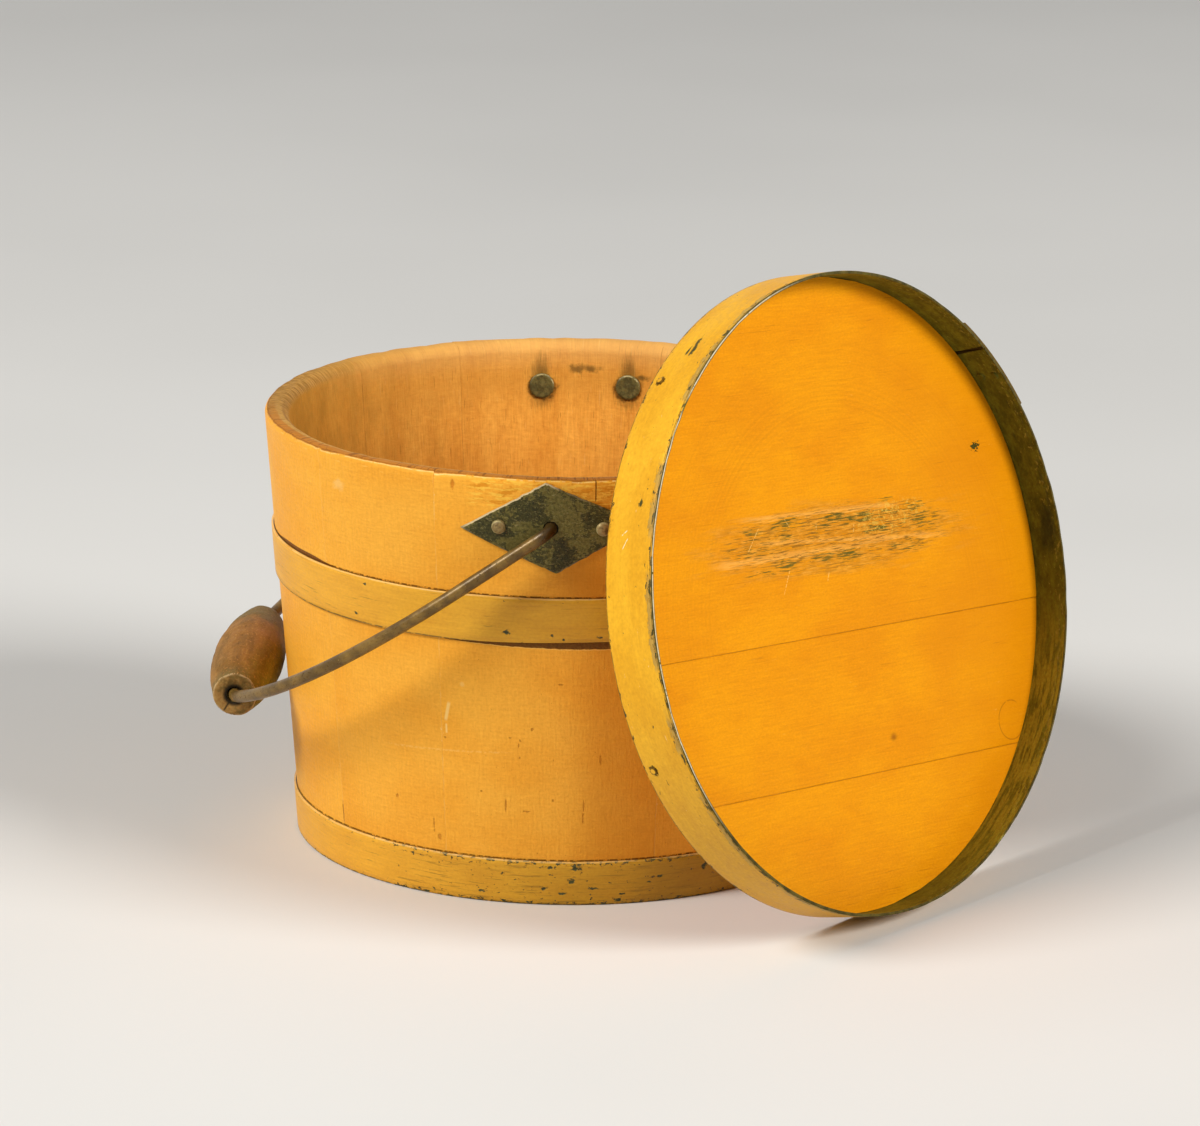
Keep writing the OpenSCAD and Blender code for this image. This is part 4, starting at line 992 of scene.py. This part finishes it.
def add_stave(node, number, material):
    first, last = stave_span(node)
    width = (last - first) * RIM_R
    near = np.array([0.02, 0.4, 0.9, 2.0, 3.5]) * MM
    inner = np.linspace(near[-1], width - near[-1], max(3, int(width / (3.2 * MM))))
    columns = np.concatenate([near[:-1], inner, width - near[::-1][1:]])
    depth, z = stave_side()
    loop_depth = np.concatenate([depth[0, :-1], depth[:-1, -1], depth[-1, ::-1][:-1], depth[::-1, 0]])
    loop_z = np.concatenate([z[0, :-1], z[:-1, -1], z[-1, ::-1][:-1], z[::-1, 0]])
    ease = 8 * MM
    skin = []
    for x in columns:
        shift = tongue_shift(loop_depth) * (max(0, 1 - (x - columns[0]) / ease) + max(0, 1 - (columns[-1] - x) / ease))
        skin.append(at_wall(first + (x + shift) / RIM_R, loop_depth, loop_z))
    sides = [at_wall(first + (x + tongue_shift(depth)) / RIM_R, depth, z) for x in (columns[0], columns[-1])]
    chips = rim_chips(number, 3)

    def polar(points):
        """Azimuth, radius, distance round the wall from the stave's first side, and depth in the wall."""
        az = first + (np.arctan2(points[:, 1], points[:, 0]) - first + 0.2) % (2 * math.pi) - 0.2
        r = np.hypot(points[:, 0], points[:, 1])
        return az, r, (az - first) * RIM_R, BASE_R + SLOPE * points[:, 2] - r

    def from_seam(points):
        run = polar(points)[2]
        return np.minimum(np.abs(run), np.abs(width - run))

    def wear(points):
        az, r, run, inward = polar(points)
        height = points[:, 2]
        outside = smooth_step(inward, 4 * MM, 1 * MM)
        inside = smooth_step(inward, 8 * MM, 11 * MM)
        hollow = 0.08 * MM + 0.08 * MM * noise_at(points, 0.05, number)
        seam = 0.06 * MM * np.exp(-((from_seam(points) / (0.5 * MM)) ** 2))
        planed = 0.10 * MM * noise_at(np.stack([run, height * 0.04, inward * 0], 1), 0.009, number + 40)
        r = r - outside * np.clip(hollow + seam, 0, 1) + inside * (planed + seam)
        top = smooth_step(height, PAIL_H - 15 * MM, PAIL_H - 2 * MM)
        flat = np.stack([points[:, 0], points[:, 1], inward * 0], 1)
        drop = 0.45 * MM + 0.9 * MM * noise_at(flat, 0.045, 7) + 0.35 * MM * noise_at(flat, 0.009, 8)
        slant = RIM_SLANT * smooth_step(inward, 5.5 * MM, WALL_T)
        height = height - top * np.clip(drop + slant, 0, 1)
        for share, size, deep in chips:
            away = np.hypot(run - share * width, (height - PAIL_H + 1.2 * MM) * 0.8)
            hit = np.exp(-((away / size) ** 2)) * smooth_step(inward, 6 * MM, 1 * MM)
            r = r - hit * deep
            height = height - hit * deep * 0.6
        return np.stack([r * np.cos(az), r * np.sin(az), height], 1)

    patches = [grid_of(skin)] + sides
    add_piece(node + "_wood", patches, "pail_body", [node], material, wear, number, from_seam)


def strip(place, az, rows, lift, thick, shift):
    """Patches of a bent strip: az in radians, rows across its width, and its lift off what it is bent round."""
    round_off = np.ones(len(rows)) * thick
    round_off[[0, -1]] -= min(0.35 * MM, thick / 3)
    outer = grid_of([place(a, up + round_off, rows + move) for a, up, move in zip(az, lift, shift)])
    inner = grid_of([place(a, up + rows * 0, rows + move) for a, up, move in zip(az, lift, shift)])
    edges = [np.stack([outer[:, k], inner[:, k]], 1) for k in (0, -1)]
    ends = [np.stack([outer[k], inner[k]], 1) for k in (0, -1)]
    return [outer, inner] + edges + ends


def edge_rows(low, high, count):
    inset = 0.35 * MM
    return np.concatenate([[low], np.linspace(low + inset, high - inset, count), [high]])


def add_hoop(node, low, high, lap_az, material, seed, rise=0.0):
    """A hoop whose outer end rides over its inner one, with its corners cut off.

    rise is how far its lower edge has been driven up at the front.
    """
    r = BASE_R + SLOPE * (low + high) / 2
    lap = LAP_HALF / r
    start = math.radians(lap_az) - lap
    az = np.concatenate([np.linspace(start, start + 2 * math.pi, 330), start + 2 * math.pi + np.linspace(0.05, 1, 12) * 2 * lap])
    over = smooth_step(az, start + 2 * math.pi - 7 * MM / r, start + 2 * math.pi)
    circle = np.stack([np.cos(az), np.sin(az), az * 0], 1) * r
    ripple = noise_at(circle, 0.05, seed) * 0.22 * MM
    lift = over * HOOP_T + np.clip(0.05 * MM + noise_at(circle, 0.07, seed + 1) * 0.15 * MM, 0.01 * MM, 1)
    rows = edge_rows(low, high, 9)

    def place(a, up, z):
        snip = (high - low) / 5
        ahead = (start + 2 * math.pi + 2 * lap - a) * r
        squeeze = max(0, 1 - ahead / snip) * snip
        middle_z = (low + high) / 2
        z = middle_z + (z - middle_z) * (1 - 2 * squeeze / (high - low))
        z = z + rise * at_front(a) * (high - z) / (high - low)
        return at_wall(a, -up / LEVEL, z)

    ripple = np.clip(ripple, -low, 1)
    patches = strip(place, az, rows, lift, HOOP_T, ripple)
    add_piece(node + "_strip", patches, "pail_body", [node], material, crease_deg=50)


def at_front(az):
    """1 where the upper hoop has been driven up, at the front right, and 0 elsewhere. az is in radians."""
    degrees = (np.degrees(az) + 180) % 360 - 180
    return smooth_step(degrees, RISE_AZ[0], RISE_AZ[1]) * smooth_step(degrees, RISE_AZ[3], RISE_AZ[2])


def wall_axes(az, z):
    """Origin and axes of a small piece that stands on the wall: round it, up it and out of it."""
    out = Vector((math.cos(az), math.sin(az), -SLOPE)).normalized()
    round_wall = Vector((-math.sin(az), math.cos(az), 0))
    return Vector(at_wall(az, 0, z)), round_wall, out.cross(round_wall), out


def add_rivets(node, places, rows, material, body, seed, reach=None, outline=None):
    """Heads that stand for a node, from rows of (radius, height). places holds (origin, x, y, out) of each.

    reach adds the shank inwards, and outline makes a head other than round.
    """
    if reach:
        shank, tail_r, tail_h = reach
        neck = rows[0][0] * 0.6
        rows = [(0, -shank), (tail_r * 0.8, -shank), (tail_r, -shank + tail_h), (neck, -shank + tail_h), (neck, rows[0][1])] + rows
    patches = [turned(rows, 24, on_axes(origin, x, y, out), outline) for origin, x, y, out in places]

    def from_border(points):
        away = [np.linalg.norm(np.cross(points - np.array(origin), np.array(out)), axis=1) for origin, x, y, out in places]
        return max(radius for radius, height in rows) - np.min(away, axis=0)

    def wear(points):
        return points + noise_at(points, 2.4 * MM, seed)[:, None] * 0.2 * MM * np.array(places[0][3])

    add_piece(node + "_heads", patches, body, [node], material, wear, 0.0, from_border)


def add_plate(node, az_deg, material, seed, skew):
    """A diamond of sheet iron bent to the wall, cut by eye and dressed by hammer and file."""
    half_w, half_h, hole = 43.5 * MM, 22.5 * MM, 3.6 * MM
    centre_az = math.radians(az_deg)
    turn = np.linspace(0, 2 * math.pi, 97)
    turn[-1] = 0
    shares = np.concatenate([np.linspace(0, 0.94, 14) ** 0.9, [0.965, 0.985, 1.0]])

    def outline(angle):
        jag = noise_at(np.stack([np.cos(angle), np.sin(angle), angle * 0], 1), 0.16, seed)
        return 1 / (np.abs(np.cos(angle)) / half_w + np.abs(np.sin(angle)) / half_h) + (jag * 0.4 - 0.2) * MM

    def layer(height, trim):
        rows = []
        for share in shares:
            reach = hole + (outline(turn) - hole) * share
            x, y = reach * np.cos(turn), reach * np.sin(turn)
            x, y = x - skew[0] * y * share, y + skew[1] * x * share
            z = HINGE.z + y
            r = BASE_R + SLOPE * z
            rows.append(at_wall(centre_az + x / r, -(height - trim * smooth_step(share, 0.95, 1)), z))
        return grid_of(rows)

    top, under = layer(PLATE_T, 0.4 * MM), layer(0, 0)
    rims = [np.stack([top[k], under[k]], 0) for k in (0, -1)]

    def from_outline(points):
        r = np.hypot(points[:, 0], points[:, 1])
        az = np.arctan2(points[:, 1], points[:, 0]) - centre_az
        x = ((az + math.pi) % (2 * math.pi) - math.pi) * r
        y = points[:, 2] - HINGE.z
        x, y = x + skew[0] * y, y - skew[1] * x
        return (1 - np.hypot(x, y) / outline(np.arctan2(y, x))) * half_w * half_h / math.hypot(half_w, half_h)

    def wear(points):
        r = np.hypot(points[:, 0], points[:, 1])
        proud = r - BASE_R - SLOPE * points[:, 2]
        dent = noise_at(points, 0.008, seed) * 0.16 * MM + noise_at(points, 0.025, seed + 1) * 0.25 * MM
        scale = 1 + np.where(proud > 0.5 * MM, np.minimum(dent, 0.05 * MM), 0) / r
        return np.stack([points[:, 0] * scale, points[:, 1] * scale, points[:, 2]], 1)

    patches = [top, under] + rims
    add_piece(node + "_iron", patches, "pail_body", [node], material, wear, 0.0, from_outline)


def add_burrs(node, places, material, seed):
    """Round burrs on the wall's inside, dished over the ends of the rivets."""
    radius, thick, gap = 6.35 * MM, 1.2 * MM, 0.17 * MM
    rows = [(0, 0), (radius, 0), (radius, 0.7 * thick), (radius - 0.45 * MM, thick), (radius * 0.8, thick)]
    rows += [(radius * 0.5, 0.85 * thick), (radius * 0.25, 0.95 * thick), (0, thick)]
    patches = []
    for origin, x_axis, y_axis, out in places:
        patches.append(turned(rows, 40, on_axes(origin - out * (WALL_T + gap), x_axis, y_axis, -out)))

    def from_rim(points):
        """Distance from the burr's rim, counted only in its upper part, where the rim gets a painted highlight."""
        facts = []
        for origin, x_axis, y_axis, out in places:
            away = points - np.array(origin)
            x, y = away @ np.array(x_axis), away @ np.array(y_axis)
            lit = smooth_step(y - 0.4 * x, -1 * MM, 3 * MM)
            facts.append(np.where(np.hypot(x, y) < 2 * radius, radius - np.hypot(x, y) + 5 * MM * (1 - lit), 1))
        return np.min(facts, axis=0)

    def wear(points):
        return points + noise_at(points, 3 * MM, seed)[:, None] * 0.08 * MM * np.array(places[0][3])

    add_piece(node + "_washers", patches, "pail_body", [node], material, wear, 0.0, from_rim, crease_deg=50)


def tube(path, radii, sides):
    """A patch along a path. Its cross-section keeps to one plane where the path does."""
    path = np.array(path)
    ahead = np.gradient(path, axis=0)
    ahead /= np.linalg.norm(ahead, axis=1, keepdims=True)
    side_axis = np.array(ALONG_HINGE.cross(TO_GRIP))
    turn = np.linspace(0, 2 * math.pi, sides + 1)
    turn[-1] = 0
    rows = []
    for point, forward, radius in zip(path, ahead, radii):
        other = np.cross(forward, side_axis)
        rows.append(point + radius * (np.cos(turn)[:, None] * side_axis + np.sin(turn)[:, None] * other))
    cap = [np.stack([rows[k], np.broadcast_to(path[k], rows[k].shape)], 0) for k in (0, -1)]
    return [grid_of(rows)] + cap


def bail_half_path():
    """Points (along the hinge, towards the grip) of half the bail, from its end to its middle."""
    points = [(x, 0.0) for x in np.linspace(STUB_X, LEG_X - EAR_BEND_R, 5)]
    for t in np.linspace(0, math.pi / 2, 9)[1:]:
        points.append((LEG_X - EAR_BEND_R + EAR_BEND_R * math.sin(t), EAR_BEND_R * (1 - math.cos(t))))
    points += [(LEG_X, y) for y in np.linspace(EAR_BEND_R, BOW_Y, 12)[1:]]
    last_turn = math.asin((BAIL_REACH - BOW_Y) / LEG_X)
    for t in np.linspace(0, last_turn, 60)[1:]:
        points.append((LEG_X * math.cos(t), BOW_Y + LEG_X * math.sin(t)))
    points += [(x, BAIL_REACH) for x in np.linspace(LEG_X * math.cos(last_turn), 0, 16)[1:]]
    return np.array(points)


def add_bail(material):
    half = bail_half_path()
    whole = np.concatenate([half, (half * [-1, 1])[::-1][1:]])
    for _ in range(2):
        whole[1:-1] = (whole[:-2] + 2 * whole[1:-1] + whole[2:]) / 4
    axes = np.array([ALONG_HINGE, TO_GRIP])
    path = np.array(HINGE) + whole @ axes
    radii = np.full(len(path), WIRE_R)
    radii[[0, -1]] = 5 * MM
    radii[[1, -2]] = 3.4 * MM
    radii += noise_at(path, 0.012, 3) * 0.09 * MM
    add_piece("bail_wire", tube(path, radii, 20), "bail_body", ["bail"], material, crease_deg=60)


def add_grip(material):
    """A turned barrel, worn out of round, with its arrises rubbed and a hole through it."""
    share = np.linspace(-1, 1, 61)
    body = GRIP_END_R + (GRIP_MID_R - GRIP_END_R) * (1 - np.abs(share) ** 1.82)
    chamfer = 1.2 * MM
    rows = [(GRIP_BORE_R, -GRIP_HALF + 14 * MM), (GRIP_BORE_R, -GRIP_HALF + 0.4 * MM), (GRIP_BORE_R + 0.5 * MM, -GRIP_HALF)]
    rows += [(GRIP_END_R - 2.5 * MM, -GRIP_HALF), (GRIP_END_R - chamfer, -GRIP_HALF), (GRIP_END_R - 0.4 * MM, -GRIP_HALF + 0.35 * MM)]
    rows += [(r, s * (GRIP_HALF - chamfer)) for r, s in zip(body, share)]
    rows += [(r, -x) for r, x in rows[:6][::-1]]
    rows.append(rows[0])
    place = on_axes(GRIP_MIDDLE, TO_GRIP, ALONG_HINGE.cross(TO_GRIP), ALONG_HINGE)

    def wear(points):
        away = points - np.array(GRIP_MIDDLE)
        along = away @ np.array(ALONG_HINGE)
        out = away - along[:, None] * np.array(ALONG_HINGE)
        length = np.maximum(np.linalg.norm(out, axis=1), 1e-9)
        skin = smooth_step(length, 6 * MM, 9 * MM)
        worn = 0.16 * MM - noise_at(points, 0.016, 5) * 0.5 * MM - noise_at(points, 0.004, 6) * 0.16 * MM
        near_end = smooth_step(GRIP_HALF - np.abs(along), 5 * MM, 0)
        worn = worn + near_end * np.clip(noise_at(points, 0.006, 9) * 0.9 * MM, 0, 1)
        return points - out / length[:, None] * (skin * np.clip(worn, 0, 1))[:, None]

    add_piece("grip_barrel", [turned(rows, 64, place)], "grip_body", ["grip"], material, wear, crease_deg=45)


def board_patches(place, low, high, radius, thick, joint_low, joint_high):
    """Patches of a board cut from a disc: its length is x, and it lies between two joints."""
    inset = np.array([0.0, 0.35, 0.9]) * MM
    middle_y = np.linspace(low + inset[-1], high - inset[-1], max(3, int((high - low) / (3.5 * MM))))
    y = np.concatenate([low + inset[:-1], middle_y, high - inset[::-1][1:]])
    half = np.sqrt(np.clip(radius**2 - y**2, 0, None))
    share = np.sin(np.linspace(-1, 1, 91) * math.pi / 2)
    x = half[:, None] * share[None, :]
    y_grid = np.broadcast_to(y[:, None], x.shape)
    sunk = 0.15 * MM
    edge = sunk * (joint_low * np.exp(-(((y - low) / (0.5 * MM)) ** 2)) + joint_high * np.exp(-(((high - y) / (0.5 * MM)) ** 2)))
    top = place(x, y_grid, thick - edge[:, None])
    under = place(x, y_grid, 0 * y_grid + edge[:, None])
    borders = [np.stack([top[k], under[k]], 0) for k in (0, -1)]
    ends = [np.stack([top[:, k], under[:, k]], 1) for k in (0, -1)]
    return [top, under] + borders + ends


def add_boards(names, joints_at, radius, thick, place, out, body, material, seed):
    limits = [-radius + 0.05 * MM, *joints_at, radius - 0.05 * MM]
    start = place(0, 0, 0)
    over = place(0, 1, 0) - start
    for number, (node, low, high) in enumerate(zip(names, limits, limits[1:])):
        gap = 0.06 * MM
        low_gap, high_gap = (gap if number else 0), (gap if number < 2 else 0)
        patches = board_patches(place, low + low_gap, high - high_gap, radius, thick, number > 0, number < 2)

        def from_joint(points, number=number, low=low, high=high):
            level = (points - start) @ over
            return np.minimum(level - low if number else 1, high - level if number < 2 else 1)

        def wear(points, number=number):
            swell = noise_at(points, 0.06, seed + number) * 0.3 * MM - 0.12 * MM
            level = (points - start) @ np.array(out)
            side = smooth_step(level, 0, thick) * 2 - 1
            return points + np.outer(np.minimum(swell, 0) * side, out)

        add_piece(node + "_wood", patches, body, [node], material, wear, number + seed, from_joint)


def add_lid_band(material):
    """The lid's iron band: one turn inside, its outer end lapped over the joint, and a mouth knocked uneven by use."""
    start = math.radians(BAND_END_AZ) + 0.3 * MM / LID_R
    az = np.linspace(start, start + 2 * math.pi - 0.6 * MM / LID_R, 361)
    inner_r = LID_R - BAND_T
    circle = np.stack([np.cos(az), np.sin(az), az * 0], 1) * LID_R
    mouth = np.clip(noise_at(circle, 0.03, 21) * 0.9 * MM + noise_at(circle, 0.009, 22) * 0.45 * MM, -1, 0)
    push = noise_at(circle, 0.05, 23) * 0.35 * MM
    rows = edge_rows(0.0, BAND_W, 12)

    def place(a, up, out):
        k = int(np.argmin(np.abs(az - a)))
        free = smooth_step(out, BOARD_T, BAND_W)
        out = out + mouth[k] * free
        return at_lid(a, inner_r + up + np.minimum(push[k], 0) * free, out)

    ring = strip(place, az, rows, az * 0, BAND_T, az * 0)
    lap_az = np.radians(np.linspace(*BAND_LAP_AZ, 26))
    lap_rows = edge_rows(0.4 * MM, BAND_W - 0.5 * MM, 12)
    lap = strip(lambda a, up, out: at_lid(a, LID_R - 0.02 * MM + up, out), lap_az, lap_rows, lap_az * 0, BAND_T, lap_az * 0)
    add_piece("lid_band_strip", ring + lap, "lid_body", ["lid_band"], material, crease_deg=50)


def lid_axes(az, depth, r):
    """Origin and axes of a small piece that stands on the band."""
    out = LID_ACROSS * math.cos(az) + LID_UP * math.sin(az)
    round_band = LID_UP * math.cos(az) - LID_ACROSS * math.sin(az)
    return Vector(at_lid(az, r, depth)), round_band, LID_OUT, out


def add_pail():
    staves = stave_material()
    names = ["front_ear_stave", *[f"lid_side_stave_{i}" for i in range(1, 6)]]
    names += ["back_ear_stave", *[f"bail_side_stave_{i}" for i in range(1, 6)]]
    for number, name in enumerate(names):
        add_stave(name, number, staves)
    turn = math.radians(20)
    along = Vector((math.cos(turn), math.sin(turn), 0))
    over = Vector((-math.sin(turn), math.cos(turn), 0))
    bottom_r = BASE_R + SLOPE * CROZE_LOW - WALL_T * LEVEL + CROZE_DEPTH - 0.4 * MM
    place = on_axes((0, 0, CROZE_LOW), along, over, (0, 0, 1))
    boards = ["bottom_board_left", "bottom_board_middle", "bottom_board_right"]
    add_boards(boards, (-44 * MM, 44 * MM), bottom_r, 10 * MM, place, (0, 0, 1), "pail_body", bottom_material(), 50)
    upper = hoop_material("upper_hoop_paint", *UPPER_HOOP, 0.75, (-46, -40), UPPER_CHIPS)
    lower = hoop_material("lower_hoop_paint", *LOWER_HOOP, 0.70, (-88, -10), LOWER_CHIPS)
    add_hoop("upper_hoop", *UPPER_HOOP, UPPER_LAP_AZ, upper, 11, UPPER_RISE)
    add_hoop("lower_hoop", *LOWER_HOOP, LOWER_LAP_AZ, lower, 13)
    rivet = small_iron_material("rivet_iron", srgb(150, 124, 74), srgb(110, 90, 50), 0.2)
    painted = small_iron_material("hoop_rivet_paint", srgb(206, 156, 58), srgb(172, 124, 44), 0.0)
    burr = small_iron_material("burr_iron", srgb(104, 94, 48), srgb(78, 70, 34), 0.1)
    for node in ("upper_hoop_rivets", "lower_hoop_rivets"):
        centre = middle(node)
        low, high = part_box(node)
        az = math.atan2(centre.y, centre.x)
        spots = []
        for z in (low.z + 3 * MM, high.z - 3 * MM):
            origin, x_axis, y_axis, out = wall_axes(az, z)
            spots.append((origin + out * 2 * HOOP_T, x_axis, y_axis, out))
        add_rivets(node, spots, dome(3 * MM, 1.3 * MM, 0.2 * MM), painted, "pail_body", 60)
    plate = plate_material()
    for side, az_deg, skew in (("front", PLATE_AZ, (0.115, 0.045)), ("back", PLATE_AZ + 180, (-0.05, -0.03))):
        add_plate(side + "_ear_plate", az_deg, plate, 70 + (side == "back"), skew)
        gap = RIVET_GAP / (BASE_R + SLOPE * HINGE.z)
        spots = [wall_axes(math.radians(az_deg) + k * gap, HINGE.z) for k in (-1, 1)]
        heads = [(o + out * PLATE_T, x, y, out) for o, x, y, out in spots]
        shank = (WALL_T + PLATE_T + 0.8 * MM, 2.3 * MM, 0.5 * MM)
        head = dome(3.5 * MM, 2.1 * MM, 0.1 * MM)
        add_rivets(side + "_ear_rivets", heads, head, rivet, "pail_body", 80, shank)
        add_burrs(side + "_ear_burrs", spots, burr, 90)


def add_lid():
    turn = math.radians(BOARD_TURN_DEG)
    along = LID_ACROSS * math.cos(turn) + LID_UP * math.sin(turn)
    over = LID_UP * math.cos(turn) - LID_ACROSS * math.sin(turn)
    place = on_axes(LID_CENTRE, along, over, LID_OUT)
    boards = ["lid_board_lower", "lid_board_middle", "lid_board_upper"]
    board_r = LID_R - BAND_T - 0.1 * MM
    add_boards(boards, LID_JOINTS, board_r, BOARD_T, place, LID_OUT, "lid_body", lid_material(), 56)
    band = band_material()
    add_lid_band(band)
    # Cut nails with small four-sided heads, painted over like the band
    nails = [lid_axes(math.radians(az_deg), NAIL_DEPTH, LID_R) for az_deg in NAIL_AZ]
    head = [(1.70 * MM, -0.1 * MM), (1.75 * MM, 0.4 * MM), (1.45 * MM, 0.75 * MM), (0.9 * MM, 0.85 * MM), (0, 0.84 * MM)]
    add_rivets("lid_nails", nails, head, band, "lid_body", 31, None, squared)
    rivets = [lid_axes(math.radians(BAND_RIVET_AZ), depth, LID_R + BAND_T) for depth in BAND_RIVET_DEPTHS]
    shank = (2 * BAND_T + 0.8 * MM, 2.3 * MM, 0.7 * MM)
    head = dome(3 * MM, 1.3 * MM, 0.1 * MM)
    add_rivets("lid_band_rivets", rivets, head, band, "lid_body", 62, shank)


def add_studio():
    """A pale floor, a pale world and soft lamps at a plain level."""
    world = bpy.data.worlds.new("studio")
    bpy.context.scene.world = world
    world.use_nodes = True
    background = world.node_tree.nodes["Background"]
    background.inputs["Color"].default_value = (0.93, 0.94, 0.96, 1)
    path = world.node_tree.nodes.new("ShaderNodeLightPath")
    seen = world.node_tree.nodes.new("ShaderNodeMath")
    seen.operation = "MAXIMUM"
    world.node_tree.links.new(path.outputs["Is Camera Ray"], seen.inputs[0])
    world.node_tree.links.new(path.outputs["Is Glossy Ray"], seen.inputs[1])
    level = world.node_tree.nodes.new("ShaderNodeMapRange")
    level.inputs["To Min"].default_value = 0.1
    level.inputs["To Max"].default_value = 0.8
    world.node_tree.links.new(seen.outputs[0], level.inputs["Value"])
    world.node_tree.links.new(level.outputs[0], background.inputs["Strength"])

    bpy.ops.mesh.primitive_circle_add(vertices=128, radius=14, fill_type="NGON", location=(0, 0, -0.1 * MM))
    floor = bpy.context.object
    floor.name = "floor"
    ground = Surface("floor_paper", specular=0.2)
    tone = ground.noise(ground.object_place, (0.6, 0.6, 0.6), 2)
    colour = ground.mix(ground.step(tone, 0.3, 0.7), (0.70, 0.695, 0.68, 1), (0.74, 0.735, 0.72, 1))
    floor.data.materials.append(ground.finish(colour, 0.8))

    aim = Vector((0.06, 0, 0.11))
    # Each lamp: direction as (right, up, toward) the camera, distance, size, and the level it gives a facing surface
    lamps = (
        ("left", (-0.75, 0.66, 0.6), 6.0, 2.2, 0.85),
        ("right", (0.80, 0.37, 0.60), 6.5, 2.6, 0.93),
    )
    back = CAMERA_RIGHT.cross(CAMERA_UP)
    for name, (right, up, toward), distance, size, level_share in lamps:
        data = bpy.data.lights.new(name, "AREA")
        data.shape = "DISK"
        data.size = size
        data.color = (1.0, 0.98, 0.94)
        data.energy = level_share * math.pi**2 * distance**2
        lamp = bpy.data.objects.new(name, data)
        direction = (CAMERA_RIGHT * right + CAMERA_UP * up + back * toward).normalized()
        lamp.location = aim + direction * distance
        lamp.rotation_mode = "QUATERNION"
        lamp.rotation_quaternion = direction.to_track_quat("Z", "Y")
        bpy.context.scene.collection.objects.link(lamp)


bpy.context.scene.view_settings.view_transform = "Standard"
add_camera()
add_studio()
add_pail()
add_bail(wire_material())
add_grip(grip_material())
add_lid()
